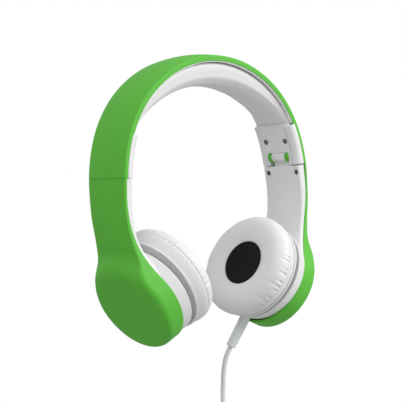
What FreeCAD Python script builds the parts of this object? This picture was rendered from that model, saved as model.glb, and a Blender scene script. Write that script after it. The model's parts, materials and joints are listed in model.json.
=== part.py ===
import FreeCAD, Part
import math
import os

# Folding on-ear headphones of child's size, in millimetres.
# X runs across the head, -Y is the front, +Z is up. The origin is the point of the cushion that rests on
# the crown of the head. Everything is drawn with the band's crease line at z = 0 over the crown, and
# lifted at the end. Both sides come from one set of functions: +X (the wearer's left) is drawn, -X mirrored.

Vec = FreeCAD.Vector

# Band curve, seen from the front: three tangent arcs from the crown down to the fold line
crown_r = 79.2
crown_span = 37.25
shoulder_r = 66.4
shoulder_span = 33.82
side_r = 83.2
side_span = 13.77

# Band shell section
band_half_width = 15.5
band_dome = 1.6
band_rim = 3.0
band_wall = 1.6
band_side_wall = 1.8
band_corner_r = 0.9

# Steel band, carrier and cushion
steel_half_width = 5.5
steel_t = 0.6
steel_depth = 1.25
steel_end_gap = 1.2
notch_r = 0.7
notch_pitch = 3.0
notch_count = 6
rivet_r = 1.5
rivet_head_r = 2.6
rivet_head_t = 0.4
rivet_seat = 0.3
rivet_spacing = 24.0
carrier_t = 1.2
carrier_depth = 2.3
cushion_half_width = 12.2
cushion_depth = 16.2
cushion_r = 89.5
cushion_edge_drop = 5.0
cushion_edge_margin = 1.0
crescent_span = 80.0
pad_end_angle = 63.9

# Slider block
slider_span = 19.4
slide_travel = 15.0
slider_depth = 7.2
slider_edge_r = 3.0
slider_side_gap = 0.4
slide_gap = 0.12
window_half_width = 8.2
window_height = 8.7
screw_y = 8.0
screw_up = 16.5
screw_head_r = 1.5
screw_head_t = 1.0
screw_head_gap = 0.1
screw_shank_r = 0.9
screw_sink = 0.5
back_plate_half_width = 11.0
back_plate_inset = 1.0

# Hinge
fold_gap = 0.5
hinge_up = 5.6
hinge_depth = 5.2
hinge_pin_r = 1.0
hinge_pin_half = 11.5
running_gap = 0.05
knuckle_r = 2.75
knuckle_half_width = 6.6
knuckle_web_depth = 2.8
knuckle_web_t = 2.1
knuckle_web_run = 3.5
foot_half_width = 13.0
foot_depth = 2.25
foot_t = 1.75
foot_margin = 3.5

# Arm, from the fold line down to the cup
arm_half_width = 15.1
arm_dome = 1.4
arm_corner_r = 0.9
skin_gap = 0.2
skin_dome_r = 95.0
arm_top_r = 126.0
arm_neck_r = 78.0
skin_edge = 1.9
inner_top_t = 4.9
inner_neck_t = 2.6
inner_thin_heading = 108.0
inner_inset = 0.35
inner_corner_r = 1.4
neck_blend_r = 62.0
arm_screw_y = 11.6
arm_screw_down = 4.7
arm_screw_mouth_r = 2.3
arm_screw_mouth_depth = 0.8
arm_screw_head_r = 1.5
arm_screw_head_t = 0.6
arm_screw_shank_r = 0.9

# Cup: the heights are along its axis, from the joint line of the green skin and the white shell
toe_in = 30.0
cup_below_arm = 21.993
cup_under_crease = 2.111
cup_r = 27.4
cup_height = 13.4
cup_edge_r = 4.8
cup_wall = 1.8
cup_step = 0.5
ramp_start = 46.0
ramp_end = 14.0
ramp_lean = 1.8
crease_start = 50.0
arm_steps = 14
ramp_steps = 8
hollow_foot = 3.0
hollow_top_r = 19.5
hollow_top = 8.4
rim_height = 6.8
rim_r = 29.0
rim_wall = 1.8
rim_edge_r = 0.6
well_r = 17.6
well_floor = -2.4
shelf_height = 5.6
shell_t = 1.6

# Swivel of the speaker
swivel_height = 2.5
ring_outer_r = 13.6
ring_inner_r = 11.4
ring_t = 3.0
swivel_pin_r = 1.0
swivel_pin_half = 13.4
ring_pin_inner_y = 11.6
ring_pin_outer_y = 16.2
lug_inner_y = 14.2
lug_outer_y = 16.6
lug_half_width = 2.6
swivel_limit = 5.0
tip_at_rest = {"left": -2.9, "right": -0.7}
turn_at_rest = {"left": 2.3, "right": 3.5}

# Speaker
flange_r = 29.1
flange_height = 12.7
flange_t = 1.0
bowl_neck_r = 27.9
bowl_r = 25.5
bowl_height = 9.9
bowl_floor = 7.8
speaker_wall = 1.4
speaker_r = 28.5
boss_r = 7.0
boss_height = 0.6
baffle_height = 16.0
baffle_t = 1.4
hole_r = 1.1
hole_rings = 3
hole_pitch = 4.2
driver_r = 17.5
driver_wall = 1.3
driver_frame_t = 3.2
driver_floor_t = 1.0
magnet_r = 10.0
magnet_t = 2.4
diaphragm_t = 0.4
diaphragm_drop = 0.6

# Ear pad and its cover
skirt_gap = 0.2
seam_height = 21.9
seam_r = 31.4
pad_r = 31.6
pad_mid_height = 24.0
pad_shoulder_r = 28.5
pad_shoulder_height = 28.0
crest_r = 22.0
crest_height = 29.2
pad_hole_r = 13.4
pad_hole_height = 26.6
cover_sink = 0.2
cover_t = 0.6

# Lead: the strain relief at the rim, the hanging cord, its put-away hank and the plug
lead_clock = 13.0
lead_height = 3.4
relief_r = 3.2
relief_end_r = 2.9
relief_length = 20.0
relief_neck_r = 1.7
relief_neck_length = 5.0
gland_half_width = 5.0
gland_inner_r = 19.5
gland_top = 5.0
cord_r = 1.5
cord_leaves = 11.0
cord_points = [(17.6, 14.5, -196.5), (16.9, 14.3, -209.0), (16.2, 13.6, -221.0)]
cord_entry = 14.0
hank_run = 60.0
hank_bend_r = 13.5
hank_t = 9.2
hank_edge_r = 2.5
hank_lead_offset = 10.5
waist_half_width = 7.0
waist_half_height = 4.0
waist_flare = 20.0
tie_t = 0.9
tie_half_height = 2.0
tail_length = 11.0
handle_r = 3.0
handle_neck_r = 2.0
handle_neck_length = 7.0
handle_length = 23.0
plug_collar_r = 2.6
plug_collar_t = 0.8
plug_r = 1.75
plug_barrel = 10.0
plug_groove_r = 1.15
plug_tip_r = 1.5
plug_length = 14.0


def dome_radius(half_width, rise):
    """Radius of a crown that rises by a given height over a strip's width."""
    return (half_width ** 2 + rise ** 2) / (2 * rise)


band_dome_r = dome_radius(band_half_width, band_dome)


def circle_point(centre, radius, angle):
    """A point of a circle in the XZ plane, the angle counted from straight up towards +X."""
    a = math.radians(angle)
    return Vec(centre.x + radius * math.sin(a), 0, centre.z + radius * math.cos(a))


fold_angle = crown_span + shoulder_span + side_span
crown_centre = Vec(0, 0, -crown_r)
shoulder_start = circle_point(crown_centre, crown_r, crown_span)
shoulder_centre = circle_point(shoulder_start, -shoulder_r, crown_span)
side_start = circle_point(shoulder_centre, shoulder_r, crown_span + shoulder_span)
side_centre = circle_point(side_start, -side_r, crown_span + shoulder_span)
fold_point = circle_point(side_centre, side_r, fold_angle)

# Centre, radius and the two end angles of each arc of the whole band, from the wearer's right to left
band_arcs = [
    (Vec(-side_centre.x, 0, side_centre.z), side_r, -fold_angle, -crown_span - shoulder_span),
    (Vec(-shoulder_centre.x, 0, shoulder_centre.z), shoulder_r, -crown_span - shoulder_span, -crown_span),
    (crown_centre, crown_r, -crown_span, crown_span),
    (shoulder_centre, shoulder_r, crown_span, crown_span + shoulder_span),
    (side_centre, side_r, crown_span + shoulder_span, fold_angle),
]
lift = cushion_depth


def rounded_wire(corners, plane="yz"):
    """A closed outline with straight runs and tangent corner arcs, from (a, b, corner radius) corners."""
    def lay(p):
        return Vec(0, p[0], p[1]) if plane == "yz" else Vec(p[0], 0, p[1])
    starts, edges = [], []
    count = len(corners)
    for i in range(count):
        before, here, after = corners[i - 1], corners[i], corners[(i + 1) % count]
        p = Vec(here[0], here[1], 0)
        u = (Vec(before[0], before[1], 0) - p).normalize()
        v = (Vec(after[0], after[1], 0) - p).normalize()
        radius = here[2] if len(here) > 2 else 0
        if not radius:
            starts.append((p, p, None))
            continue
        half = math.acos(max(-1.0, min(1.0, u.dot(v)))) / 2
        reach = radius / math.tan(half)
        middle = p + (u + v).normalize() * (radius / math.sin(half) - radius)
        starts.append((p + u * reach, p + v * reach, middle))
    for i in range(count):
        first, last, middle = starts[i]
        if middle is not None:
            edges.append(Part.Arc(lay(first), lay(middle), lay(last)).toShape())
        nxt = starts[(i + 1) % count][0]
        if (nxt - last).Length > 1e-6:
            edges.append(Part.LineSegment(lay(last), lay(nxt)).toShape())
    return Part.Wire(Part.__sortEdges__(edges))


def domed_wire(half_width, apex, dome_r, corner_r, base, centre_r=0):
    """A strip's section in the YZ plane: flat base, upright sides, rounded creases and a domed top."""
    z0 = centre_r + apex - dome_r
    corner_y = half_width - corner_r
    corner_z = z0 + math.sqrt((dome_r - corner_r) ** 2 - corner_y ** 2)
    bottom = centre_r + base
    out = Vec(0, corner_y, corner_z - z0).normalize()
    touch = Vec(0, 0, z0) + out * dome_r
    turn = (out + Vec(0, 1, 0)).normalize()
    mid = Vec(0, corner_y, corner_z) + turn * corner_r

    def flip(p):
        return Vec(0, -p.y, p.z)
    side = Vec(0, half_width, corner_z)
    foot = Vec(0, half_width, bottom)
    edges = [
        Part.LineSegment(flip(foot), foot).toShape(),
        Part.LineSegment(foot, side).toShape(),
        Part.Arc(side, mid, touch).toShape(),
        Part.Arc(touch, Vec(0, 0, centre_r + apex), flip(touch)).toShape(),
        Part.Arc(flip(touch), flip(mid), flip(side)).toShape(),
        Part.LineSegment(flip(side), flip(foot)).toShape(),
    ]
    return Part.Wire(edges)


def swing(face, centre, start, end):
    """Turn a section, drawn upright over the centre, about the centre's Y line from one angle to another."""
    solid = face.revolve(Vec(0, 0, 0), Vec(0, 1, 0), end - start)
    solid.rotate(Vec(0, 0, 0), Vec(0, 1, 0), start)
    solid.translate(centre)
    return solid


def join(shapes):
    solid = shapes[0]
    if len(shapes) > 1:
        solid = solid.fuse(shapes[1:])
    return solid.removeSplitter()


def along_band(section, start, end):
    """Carry a section, given as a function of the arc's radius, along the band between two angles."""
    pieces = []
    for centre, radius, first, last in band_arcs:
        a, b = max(first, start), min(last, end)
        if b - a > 0.01:
            pieces.append(swing(Part.Face(section(radius)), centre, a, b))
    return join(pieces)


def block(x0, x1, y0, y1, z0, z1):
    return Part.makeBox(x1 - x0, y1 - y0, z1 - z0, Vec(x0, y0, z0))


def turned(corners):
    """A solid of revolution about Z, from (radius, height, corner radius) corners."""
    face = Part.Face(rounded_wire(corners, "xz"))
    return face.revolve(Vec(0, 0, 0), Vec(0, 0, 1), 360)


def strip_wire(half_width, top, bottom, radius, edge_r=0):
    """A flat strip's section between two depths below the crease line of an arc."""
    z1, z0 = radius - top, radius - bottom
    return rounded_wire([(-half_width, z1), (half_width, z1), (half_width, z0, edge_r),
                         (-half_width, z0, edge_r)])


# Headband

def rivet_bore(bottom, top, radius=rivet_r):
    """A pair of round cutters across the band at the rivets, between two radii about the crown's centre."""
    bores = []
    for x in (-rivet_spacing / 2, rivet_spacing / 2):
        bore = Part.makeCylinder(radius, top - bottom, Vec(0, 0, bottom))
        bore.rotate(Vec(0, 0, 0), Vec(0, 1, 0), math.degrees(x / crown_r))
        bore.translate(crown_centre)
        bores.append(bore)
    return bores


def rivet_top():
    return crown_r + band_dome - band_wall + rivet_seat


def make_band_shell():
    outer = along_band(lambda r: domed_wire(band_half_width, band_dome, band_dome_r, band_corner_r,
                                            -band_rim, r), -fold_angle, fold_angle)
    hollow = along_band(lambda r: domed_wire(band_half_width - band_side_wall, band_dome - band_wall,
                                             band_dome_r - band_wall, band_corner_r, -band_rim - 1, r),
                        -fold_angle, fold_angle)
    posts = rivet_bore(crown_r - steel_depth, rivet_top(), rivet_head_r)
    shell = outer.cut(hollow).fuse(posts)
    return shell.cut(rivet_bore(crown_r - steel_depth - 1, rivet_top())).removeSplitter()


def steel_end_angle():
    return fold_angle - math.degrees(steel_end_gap / side_r)


def steel_strip():
    end = steel_end_angle()
    return along_band(lambda r: strip_wire(steel_half_width, steel_depth, steel_depth + steel_t, r), -end, end)


def make_spring_band():
    cuts = rivet_bore(crown_r - steel_depth - 2 * steel_t, crown_r)
    for i in range(notch_count):
        angle = steel_end_angle() - math.degrees((i + 1) * notch_pitch / side_r)
        for y in (-steel_half_width, steel_half_width):
            notch = Part.makeCylinder(notch_r, 3 * steel_t, Vec(0, y, side_r - steel_depth - 2 * steel_t))
            notch.rotate(Vec(0, 0, 0), Vec(0, 1, 0), angle)
            notch.translate(side_centre)
            cuts += [notch, notch.mirror(Vec(0, 0, 0), Vec(1, 0, 0))]
    return steel_strip().cut(cuts)


def make_band_rivets():
    """Each rivet's head bears on the steel band and its shank stands in the shell."""
    under = crown_r - steel_depth - steel_t
    heads = [head.cut(steel_strip()) for head in rivet_bore(under - rivet_head_t, under, rivet_head_r)]
    shanks = rivet_bore(under - rivet_head_t, rivet_top())
    return Part.makeCompound([join([head, shank]) for head, shank in zip(heads, shanks)])


def make_cushion_carrier():
    half_width = band_half_width - band_side_wall
    return along_band(lambda r: strip_wire(half_width, carrier_depth, carrier_depth + carrier_t, r),
                      -pad_end_angle, pad_end_angle)


def make_headband_cushion():
    seat = carrier_depth + carrier_t
    body = along_band(lambda r: strip_wire(cushion_half_width, seat, 2 * cushion_depth, r),
                      -pad_end_angle, pad_end_angle)
    # The side towards the head is an arc about a lower centre, and falls away to the long edges
    edge = cushion_half_width + cushion_edge_margin
    above = cushion_r + 2 * cushion_depth
    inner = [
        Part.LineSegment(Vec(0, -edge, above), Vec(0, edge, above)).toShape(),
        Part.LineSegment(Vec(0, edge, above), Vec(0, edge, cushion_r + cushion_edge_drop)).toShape(),
        Part.Arc(Vec(0, edge, cushion_r + cushion_edge_drop), Vec(0, 0, cushion_r),
                 Vec(0, -edge, cushion_r + cushion_edge_drop)).toShape(),
        Part.LineSegment(Vec(0, -edge, cushion_r + cushion_edge_drop), Vec(0, -edge, above)).toShape(),
    ]
    centre = Vec(0, 0, -cushion_depth - cushion_r)
    crescent = swing(Part.Face(Part.Wire(inner)), centre, -crescent_span, crescent_span)
    return body.common(crescent)


# Slider, drawn on the wearer's left

def side_sweep(wire, start, end):
    return swing(Part.Face(wire), side_centre, start, end)


def arc_angle(length):
    """The angle of a length along the side arc."""
    return math.degrees(length / side_r)


def at_fold(shape, angle=0):
    """Carry a shape drawn upright over the side arc's centre to a place above the fold line."""
    shape.rotate(Vec(0, 0, 0), Vec(0, 1, 0), fold_angle - angle)
    shape.translate(side_centre)
    return shape


def hollow_dome(y):
    """Depth of the shell's inner face below the crease line, at a distance from the middle."""
    dome_r = band_dome_r - band_wall
    return dome_r - math.sqrt(dome_r ** 2 - y ** 2) - (band_dome - band_wall)


def screw_places():
    return [(y, arc_angle(screw_up)) for y in (-screw_y, screw_y)]


def make_slider_block():
    half_width = band_half_width - band_side_wall - slider_side_gap
    top = steel_depth + steel_t + slide_gap
    radius = side_r
    shoulder = hollow_dome(half_width) + 2 * slide_gap
    wire = rounded_wire([
        (-half_width, radius - shoulder), (-back_plate_half_width - slide_gap, radius - shoulder),
        (-back_plate_half_width - slide_gap, radius - top), (back_plate_half_width + slide_gap, radius - top),
        (back_plate_half_width + slide_gap, radius - shoulder), (half_width, radius - shoulder),
        (half_width, radius - slider_depth, slider_edge_r),
        (-half_width, radius - slider_depth, slider_edge_r)])
    body = side_sweep(wire, fold_angle - slider_span, fold_angle)
    cuts = [side_sweep(strip_wire(window_half_width, -1, slider_depth + 2, radius),
                       fold_angle - arc_angle(window_height), fold_angle + 1)]
    pin = Part.makeCylinder(hinge_pin_r, 2 * hinge_pin_half, Vec(0, 0, 0), Vec(0, 1, 0))
    pin.translate(Vec(hinge_axis().x, -hinge_pin_half, hinge_axis().z))
    cuts.append(pin)
    for y, angle in screw_places():
        bore = Part.makeCylinder(screw_shank_r, slider_depth, Vec(0, y, radius - slider_depth))
        mouth = Part.makeCylinder(screw_head_r + 0.1, screw_sink + 1.0,
                                  Vec(0, y, radius - slider_depth - 0.001))
        cuts += [at_fold(bore, angle), at_fold(mouth, angle)]
    return body.cut(cuts)


def make_slider_back_plate():
    half_width = back_plate_half_width
    tunnel = steel_half_width + 2 * slide_gap
    outer_drop = hollow_dome(half_width) + 2 * slide_gap
    radius = side_r
    low = radius - steel_depth - steel_t - slide_gap
    inner = radius - steel_depth + slide_gap
    dome_r = band_dome_r - band_wall - 2 * slide_gap
    edge = Vec(0, half_width, radius - outer_drop)
    left = Vec(0, -half_width, radius - outer_drop)
    apex = Vec(0, 0, radius - hollow_dome(0) - 2 * slide_gap)
    points = [edge, Vec(0, half_width, low), Vec(0, tunnel, low), Vec(0, tunnel, inner),
              Vec(0, -tunnel, inner), Vec(0, -tunnel, low), Vec(0, -half_width, low), left]
    edges = [Part.LineSegment(a, b).toShape() for a, b in zip(points, points[1:])]
    edges.append(Part.Arc(left, apex, edge).toShape())
    plate = side_sweep(Part.Wire(edges), fold_angle - slider_span + 1,
                       fold_angle - arc_angle(window_height + 1))
    cuts = []
    for y, angle in screw_places():
        cuts.append(at_fold(Part.makeCylinder(screw_shank_r, 4, Vec(0, y, low - 1)), angle))
    return plate.cut(cuts)


def make_slider_screws():
    screws = []
    for y, angle in screw_places():
        foot = side_r - slider_depth + screw_sink
        top = side_r - steel_depth
        screw = Part.makeCylinder(screw_shank_r, top - foot, Vec(0, y, foot))
        screw = screw.fuse(Part.makeCylinder(screw_head_r, 1.0, Vec(0, y, foot)))
        screws.append(at_fold(screw.removeSplitter(), angle))
    return Part.makeCompound(screws)


def hinge_axis():
    up = math.degrees(hinge_up / side_r)
    return circle_point(side_centre, side_r - hinge_depth, fold_angle - up)


def make_hinge_pin():
    axis = hinge_axis()
    return Part.makeCylinder(hinge_pin_r, 2 * hinge_pin_half, Vec(axis.x, -hinge_pin_half, axis.z), Vec(0, 1, 0))


# Arm

def heading_vectors(heading):
    """The way down the arm and the way out of it, for a heading counted from +X downwards."""
    a = math.radians(heading)
    return Vec(math.cos(a), 0, -math.sin(a)), Vec(math.sin(a), 0, math.cos(a))


cup_heading = 90 + toe_in
arm_top = fold_point + heading_vectors(fold_angle)[0] * fold_gap
arm_top_centre = circle_point(arm_top, -arm_top_r, fold_angle)
arm_neck_start = circle_point(arm_top_centre, arm_top_r, 90)
arm_neck_centre = circle_point(arm_neck_start, -arm_neck_r, 90)
cup_up = heading_vectors(cup_heading)[0] * -1
cup_in = heading_vectors(cup_heading)[1] * -1
arm_end = circle_point(arm_neck_centre, arm_neck_r, cup_heading)
cup_centre = arm_end - cup_up * cup_below_arm + cup_in * cup_under_crease
neck_reach = math.sqrt((neck_blend_r + cup_r) ** 2 - (neck_blend_r + arm_half_width) ** 2)
neck_touch = neck_reach * cup_r / (neck_blend_r + cup_r)


def arm_point(heading):
    if heading <= 90:
        return circle_point(arm_top_centre, arm_top_r, heading)
    return circle_point(arm_neck_centre, arm_neck_r, heading)


def neck_half_width(point):
    """The arm's straight sides run into the cup's round outline by a hollow arc."""
    up = (point - cup_centre).dot(cup_up)
    if up >= neck_reach:
        return arm_half_width
    if up <= neck_touch:
        return math.sqrt(cup_r ** 2 - up ** 2)
    return arm_half_width + neck_blend_r - math.sqrt(neck_blend_r ** 2 - (neck_reach - up) ** 2)


def arm_stations():
    """Places of the arm's sections: (point, heading), the last ones inside the cup."""
    stations = [(arm_point(h), h) for h in (fold_angle, 90, 96, 102, 108, 114, cup_heading)]
    left = cup_below_arm - neck_touch
    for share in (0.5, 1.0):
        stations.append((arm_end - cup_up * (left * share), cup_heading))
    return stations


def stand_section(wire, point, heading):
    """Stand a section, drawn in YZ with +Z outwards, across the arm at a station."""
    wire = wire.copy()
    wire.rotate(Vec(0, 0, 0), Vec(0, 1, 0), heading)
    wire.translate(point)
    return wire


def arm_depth(heading):
    """Thickness of the white part of the arm: it thins out from the fold line to the neck."""
    share = min(1.0, (heading - fold_angle) / (inner_thin_heading - fold_angle))
    return inner_top_t + (inner_neck_t - inner_top_t) * share


def inner_wire(half_width, depth):
    top = -skin_edge
    return rounded_wire([(-half_width, top), (half_width, top), (half_width, top - depth, inner_corner_r),
                         (-half_width, top - depth, inner_corner_r)])


def cup_place():
    m = FreeCAD.Matrix(cup_up.x, 0, cup_in.x, cup_centre.x,
                       cup_up.y, 1, cup_in.y, cup_centre.y,
                       cup_up.z, 0, cup_in.z, cup_centre.z,
                       0, 0, 0, 1)
    return FreeCAD.Placement(m)


def in_cup(shape):
    """Carry a shape drawn about the cup's axis (X up the cup, Y across, Z inwards) to its place."""
    shape = shape.copy()
    shape.Placement = cup_place().multiply(shape.Placement)
    return shape


def in_hinge(shape):
    """Carry a shape drawn from the fold point (X down the arm, Z outwards) to its place."""
    shape.rotate(Vec(0, 0, 0), Vec(0, 1, 0), fold_angle)
    shape.translate(fold_point)
    return shape


def foot_plate():
    return block(fold_gap, arm_screw_down + foot_margin, -foot_half_width, foot_half_width,
                 -foot_depth - foot_t, -foot_depth)


def knuckle_web():
    return block(-hinge_up, fold_gap + knuckle_web_run, -knuckle_half_width, knuckle_half_width,
                 -knuckle_web_depth - knuckle_web_t, -knuckle_web_depth)


def across_hinge(radius, half_length):
    axis = hinge_axis()
    return Part.makeCylinder(radius, 2 * half_length, Vec(axis.x, -half_length, axis.z), Vec(0, 1, 0))


def arm_screw_hole(radius, top, bottom, end_radius=None):
    """Round cutters for both arm screws, between two depths below the crease line."""
    holes = []
    for y in (-arm_screw_y, arm_screw_y):
        if end_radius is None:
            hole = Part.makeCylinder(radius, bottom - top, Vec(arm_screw_down, y, -bottom))
        else:
            hole = Part.makeCone(end_radius, radius, bottom - top, Vec(arm_screw_down, y, -bottom))
        holes.append(in_hinge(hole))
    return holes


def inner_face_depth():
    """Depth of the arm's inner face at the screws, below the crease line."""
    return skin_edge + arm_depth(fold_angle + math.degrees((arm_screw_down - fold_gap) / arm_top_r))


def screw_seat_depth():
    return inner_face_depth() - arm_screw_mouth_depth


def make_hinge_knuckle():
    knuckle = join([across_hinge(knuckle_r, knuckle_half_width), in_hinge(knuckle_web()), in_hinge(foot_plate())])
    cuts = [across_hinge(hinge_pin_r + running_gap, knuckle_half_width + 1)]
    cuts += arm_screw_hole(arm_screw_shank_r, foot_depth - 1, foot_depth + foot_t + 1)
    return knuckle.cut(cuts)


def make_arm_screws():
    seat = screw_seat_depth()
    heads = arm_screw_hole(arm_screw_head_r, seat - arm_screw_head_t, seat)
    shanks = arm_screw_hole(arm_screw_shank_r, foot_depth, seat)
    return Part.makeCompound([join([head, shank]) for head, shank in zip(heads, shanks)])


def eased(up, start, end):
    """0 above the start, 1 below the end, and smooth between."""
    along = max(0.0, min(1.0, (start - up) / (start - end)))
    return along * along * (3 - 2 * along)


def skin_section(point, heading):
    """The green skin's section at a station: it rises from the arm to the cup's face by a smooth ramp."""
    up = (point - cup_centre).dot(cup_up)
    share = eased(up, ramp_start, ramp_end) ** ramp_lean
    rise = arm_dome + (cup_height - cup_under_crease - arm_dome) * share
    crease_r = arm_corner_r + (cup_edge_r - arm_corner_r) * eased(up, crease_start, ramp_end)
    base = -skin_edge - (cup_under_crease - skin_edge) * share
    return stand_section(domed_wire(neck_half_width(point), rise, skin_dome_r, crease_r, base), point, heading)


def arm_skin():
    """The green shell's outer form, still solid: a loft down to the cup's middle, then half a turn."""
    stations = [(fold_point + heading_vectors(fold_angle)[0] * skin_gap, fold_angle)]
    for step in range(1, arm_steps + 1):
        heading = fold_angle + (cup_heading - fold_angle) * step / arm_steps
        stations.append((arm_point(heading), heading))
    middle = cup_centre - cup_in * cup_under_crease
    for step in range(ramp_steps - 1, -1, -1):
        stations.append((middle + cup_up * (cup_below_arm * step / ramp_steps), cup_heading))
    sections = [skin_section(point, heading) for point, heading in stations]
    half = Part.Face(sections[-1]).common(in_cup(block(-1, 1, 0, 2 * cup_r, -2 * cup_height, cup_height)))
    return join([Part.makeLoft(sections, True, False), half.revolve(cup_centre, cup_in, 180)])


def make_arm_outer_shell():
    wide = cup_r - cup_wall
    hollow = in_cup(turned([(0, cup_step), (wide, cup_step), (wide, -hollow_foot), (hollow_top_r, -hollow_top),
                            (0, -hollow_top)]))
    return arm_skin().cut(hollow)


def rim_outline(low=0.0):
    """The white shell's outer contour as a solid disc."""
    foot = cup_r - inner_inset
    corners = [(0, low), (foot, low), (rim_r, rim_height, rim_edge_r), (0, rim_height)]
    if low < 0:
        corners.insert(2, (foot, 0))
    return in_cup(turned(corners))


def well_wall():
    """The round housing: rim, shelf and the well for the swivel."""
    foot = cup_r - inner_inset
    lean = (rim_r - foot) / rim_height
    under = shelf_height - shell_t
    corners = [
        (0, well_floor), (well_r, well_floor, shell_t / 2), (well_r, shelf_height, shell_t / 2),
        (foot + lean * shelf_height - rim_wall, shelf_height, rim_edge_r), (rim_r - rim_wall, rim_height),
        (rim_r, rim_height, rim_edge_r), (foot, 0), (foot - shell_t, 0),
        (foot + lean * under - shell_t, under), (well_r + shell_t, under),
        (well_r + shell_t, well_floor - shell_t, shell_t), (0, well_floor - shell_t)]
    return in_cup(turned(corners))


def make_lugs():
    """Two upright ears in the well that carry the ring's pins."""
    lugs = []
    top = swivel_height
    for sign in (-1, 1):
        y0, y1 = sorted((sign * lug_inner_y, sign * lug_outer_y))
        post = block(-lug_half_width, lug_half_width, y0, y1, well_floor - shell_t / 2, top)
        head = Part.makeCylinder(lug_half_width, y1 - y0, Vec(0, y0, top), Vec(0, 1, 0))
        bore = Part.makeCylinder(swivel_pin_r + running_gap, y1 - y0, Vec(0, y0, top), Vec(0, 1, 0))
        lugs.append(in_cup(join([post, head]).cut(bore)))
    return lugs


def along_lead(shape):
    """Carry a shape drawn along Z, from the cup's axis outwards, to the lead's line through the rim."""
    a = math.radians(lead_clock)
    out = Vec(-math.cos(a), math.sin(a), 0)
    shape.Placement = FreeCAD.Placement(Vec(0, 0, lead_height), FreeCAD.Rotation(Vec(0, 0, 1), out))
    return in_cup(shape)


def rim_at_lead():
    """Radius of the white rim at the height of the lead."""
    foot = cup_r - inner_inset
    return foot + (rim_r - foot) * lead_height / rim_height


def relief_neck():
    start = rim_at_lead() - relief_neck_length
    return along_lead(Part.makeCylinder(relief_neck_r, relief_neck_length + 2, Vec(0, 0, start)))


def make_gland_boss():
    boss = block(gland_inner_r, rim_r, -gland_half_width, gland_half_width, cup_step / 2, gland_top)
    boss.rotate(Vec(0, 0, 0), Vec(0, 0, 1), 180 - lead_clock)
    return in_cup(boss).common(rim_outline())


def make_arm_inner_shell(side):
    sections = []
    for point, heading in arm_stations():
        half_width = neck_half_width(point) - inner_inset
        sections.append(stand_section(inner_wire(half_width, arm_depth(heading)), point, heading))
    arm = Part.makeLoft(sections, True, False).cut([rim_outline(), arm_skin()])
    shell = join([arm, well_wall()] + make_lugs())
    if side == "left":
        shell = shell.fuse(make_gland_boss()).cut(relief_neck()).removeSplitter()
    pocket = block(fold_gap - 1, arm_screw_down + foot_margin, -foot_half_width, foot_half_width,
                   -foot_depth - foot_t, 0)
    face = inner_face_depth()
    seat = screw_seat_depth()
    slope = (arm_screw_mouth_r - arm_screw_head_r) / arm_screw_mouth_depth
    cuts = [in_hinge(pocket), in_hinge(knuckle_web())]
    cuts += arm_screw_hole(arm_screw_head_r, seat, face + 1, arm_screw_mouth_r + slope)
    cuts += arm_screw_hole(arm_screw_head_r, seat - arm_screw_head_t, seat)
    cuts += arm_screw_hole(arm_screw_shank_r, foot_depth, seat)
    return shell.cut(cuts)


# Swivel and speaker, drawn about the cup's axis

def tilted(shape, side, turned_too=True):
    """Lean a shape about the swivel's centre as it stands at rest."""
    pivot = Vec(0, 0, swivel_height)
    if turned_too:
        shape.rotate(pivot, Vec(1, 0, 0), turn_at_rest[side])
    shape.rotate(pivot, Vec(0, 1, 0), tip_at_rest[side])
    return in_cup(shape)


def make_swivel_ring(side):
    low = swivel_height - ring_t / 2
    ring = Part.makeCylinder(ring_outer_r, ring_t, Vec(0, 0, low))
    cuts = [Part.makeCylinder(ring_inner_r, ring_t, Vec(0, 0, low)),
            Part.makeCylinder(swivel_pin_r + running_gap, 2 * rim_r, Vec(-rim_r, 0, swivel_height), Vec(1, 0, 0))]
    for start in (-ring_pin_outer_y, ring_pin_inner_y):
        cuts.append(Part.makeCylinder(swivel_pin_r, ring_pin_outer_y - ring_pin_inner_y,
                                      Vec(0, start, swivel_height), Vec(0, 1, 0)))
    return tilted(ring.cut(cuts), side, False)


def make_ring_pins(side):
    pins = []
    for start in (-ring_pin_outer_y, ring_pin_inner_y):
        pins.append(tilted(Part.makeCylinder(swivel_pin_r, ring_pin_outer_y - ring_pin_inner_y,
                                             Vec(0, start, swivel_height), Vec(0, 1, 0)), side, False))
    return Part.makeCompound(pins)


def swivel_pin():
    return Part.makeCylinder(swivel_pin_r, 2 * swivel_pin_half, Vec(-swivel_pin_half, 0, swivel_height),
                             Vec(1, 0, 0))


def make_swivel_pin(side):
    return tilted(swivel_pin(), side)


def make_speaker_housing(side):
    low = flange_height - flange_t
    inside = speaker_r - speaker_wall
    floor = bowl_floor + speaker_wall
    slope = (bowl_height - bowl_floor) / (bowl_r - boss_r)
    inner_bowl_r = bowl_r - speaker_wall / 2
    corners = [
        (0, boss_height), (boss_r, boss_height, shell_t / 3), (boss_r, bowl_floor, shell_t / 2),
        (bowl_r, bowl_height, 2 * speaker_wall), (bowl_neck_r, low), (flange_r, low, flange_t / 3),
        (flange_r, flange_height, flange_t / 3), (speaker_r, flange_height), (speaker_r, baffle_height),
        (inside, baffle_height), (inside, flange_height),
        (inner_bowl_r, floor + slope * (inner_bowl_r - boss_r)), (boss_r, floor), (0, floor)]
    return tilted(turned(corners).cut(swivel_pin()), side)


def make_baffle(side):
    plate = Part.makeCylinder(speaker_r, baffle_t, Vec(0, 0, baffle_height))
    holes = []
    row = hole_pitch * math.sqrt(3) / 2
    for j in range(-hole_rings, hole_rings + 1):
        for i in range(-hole_rings, hole_rings + 1):
            if abs(i + j) <= hole_rings:
                at = Vec((i + j / 2) * hole_pitch, j * row, baffle_height)
                holes.append(Part.makeCylinder(hole_r, baffle_t, at))
    return tilted(plate.cut(holes), side)


def make_driver_frame(side):
    low = baffle_height - driver_frame_t
    inside = driver_r - driver_wall
    frame = turned([(0, low), (driver_r, low), (driver_r, baffle_height), (inside, baffle_height),
                    (inside, low + driver_floor_t), (0, low + driver_floor_t)])
    return tilted(frame, side)


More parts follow.
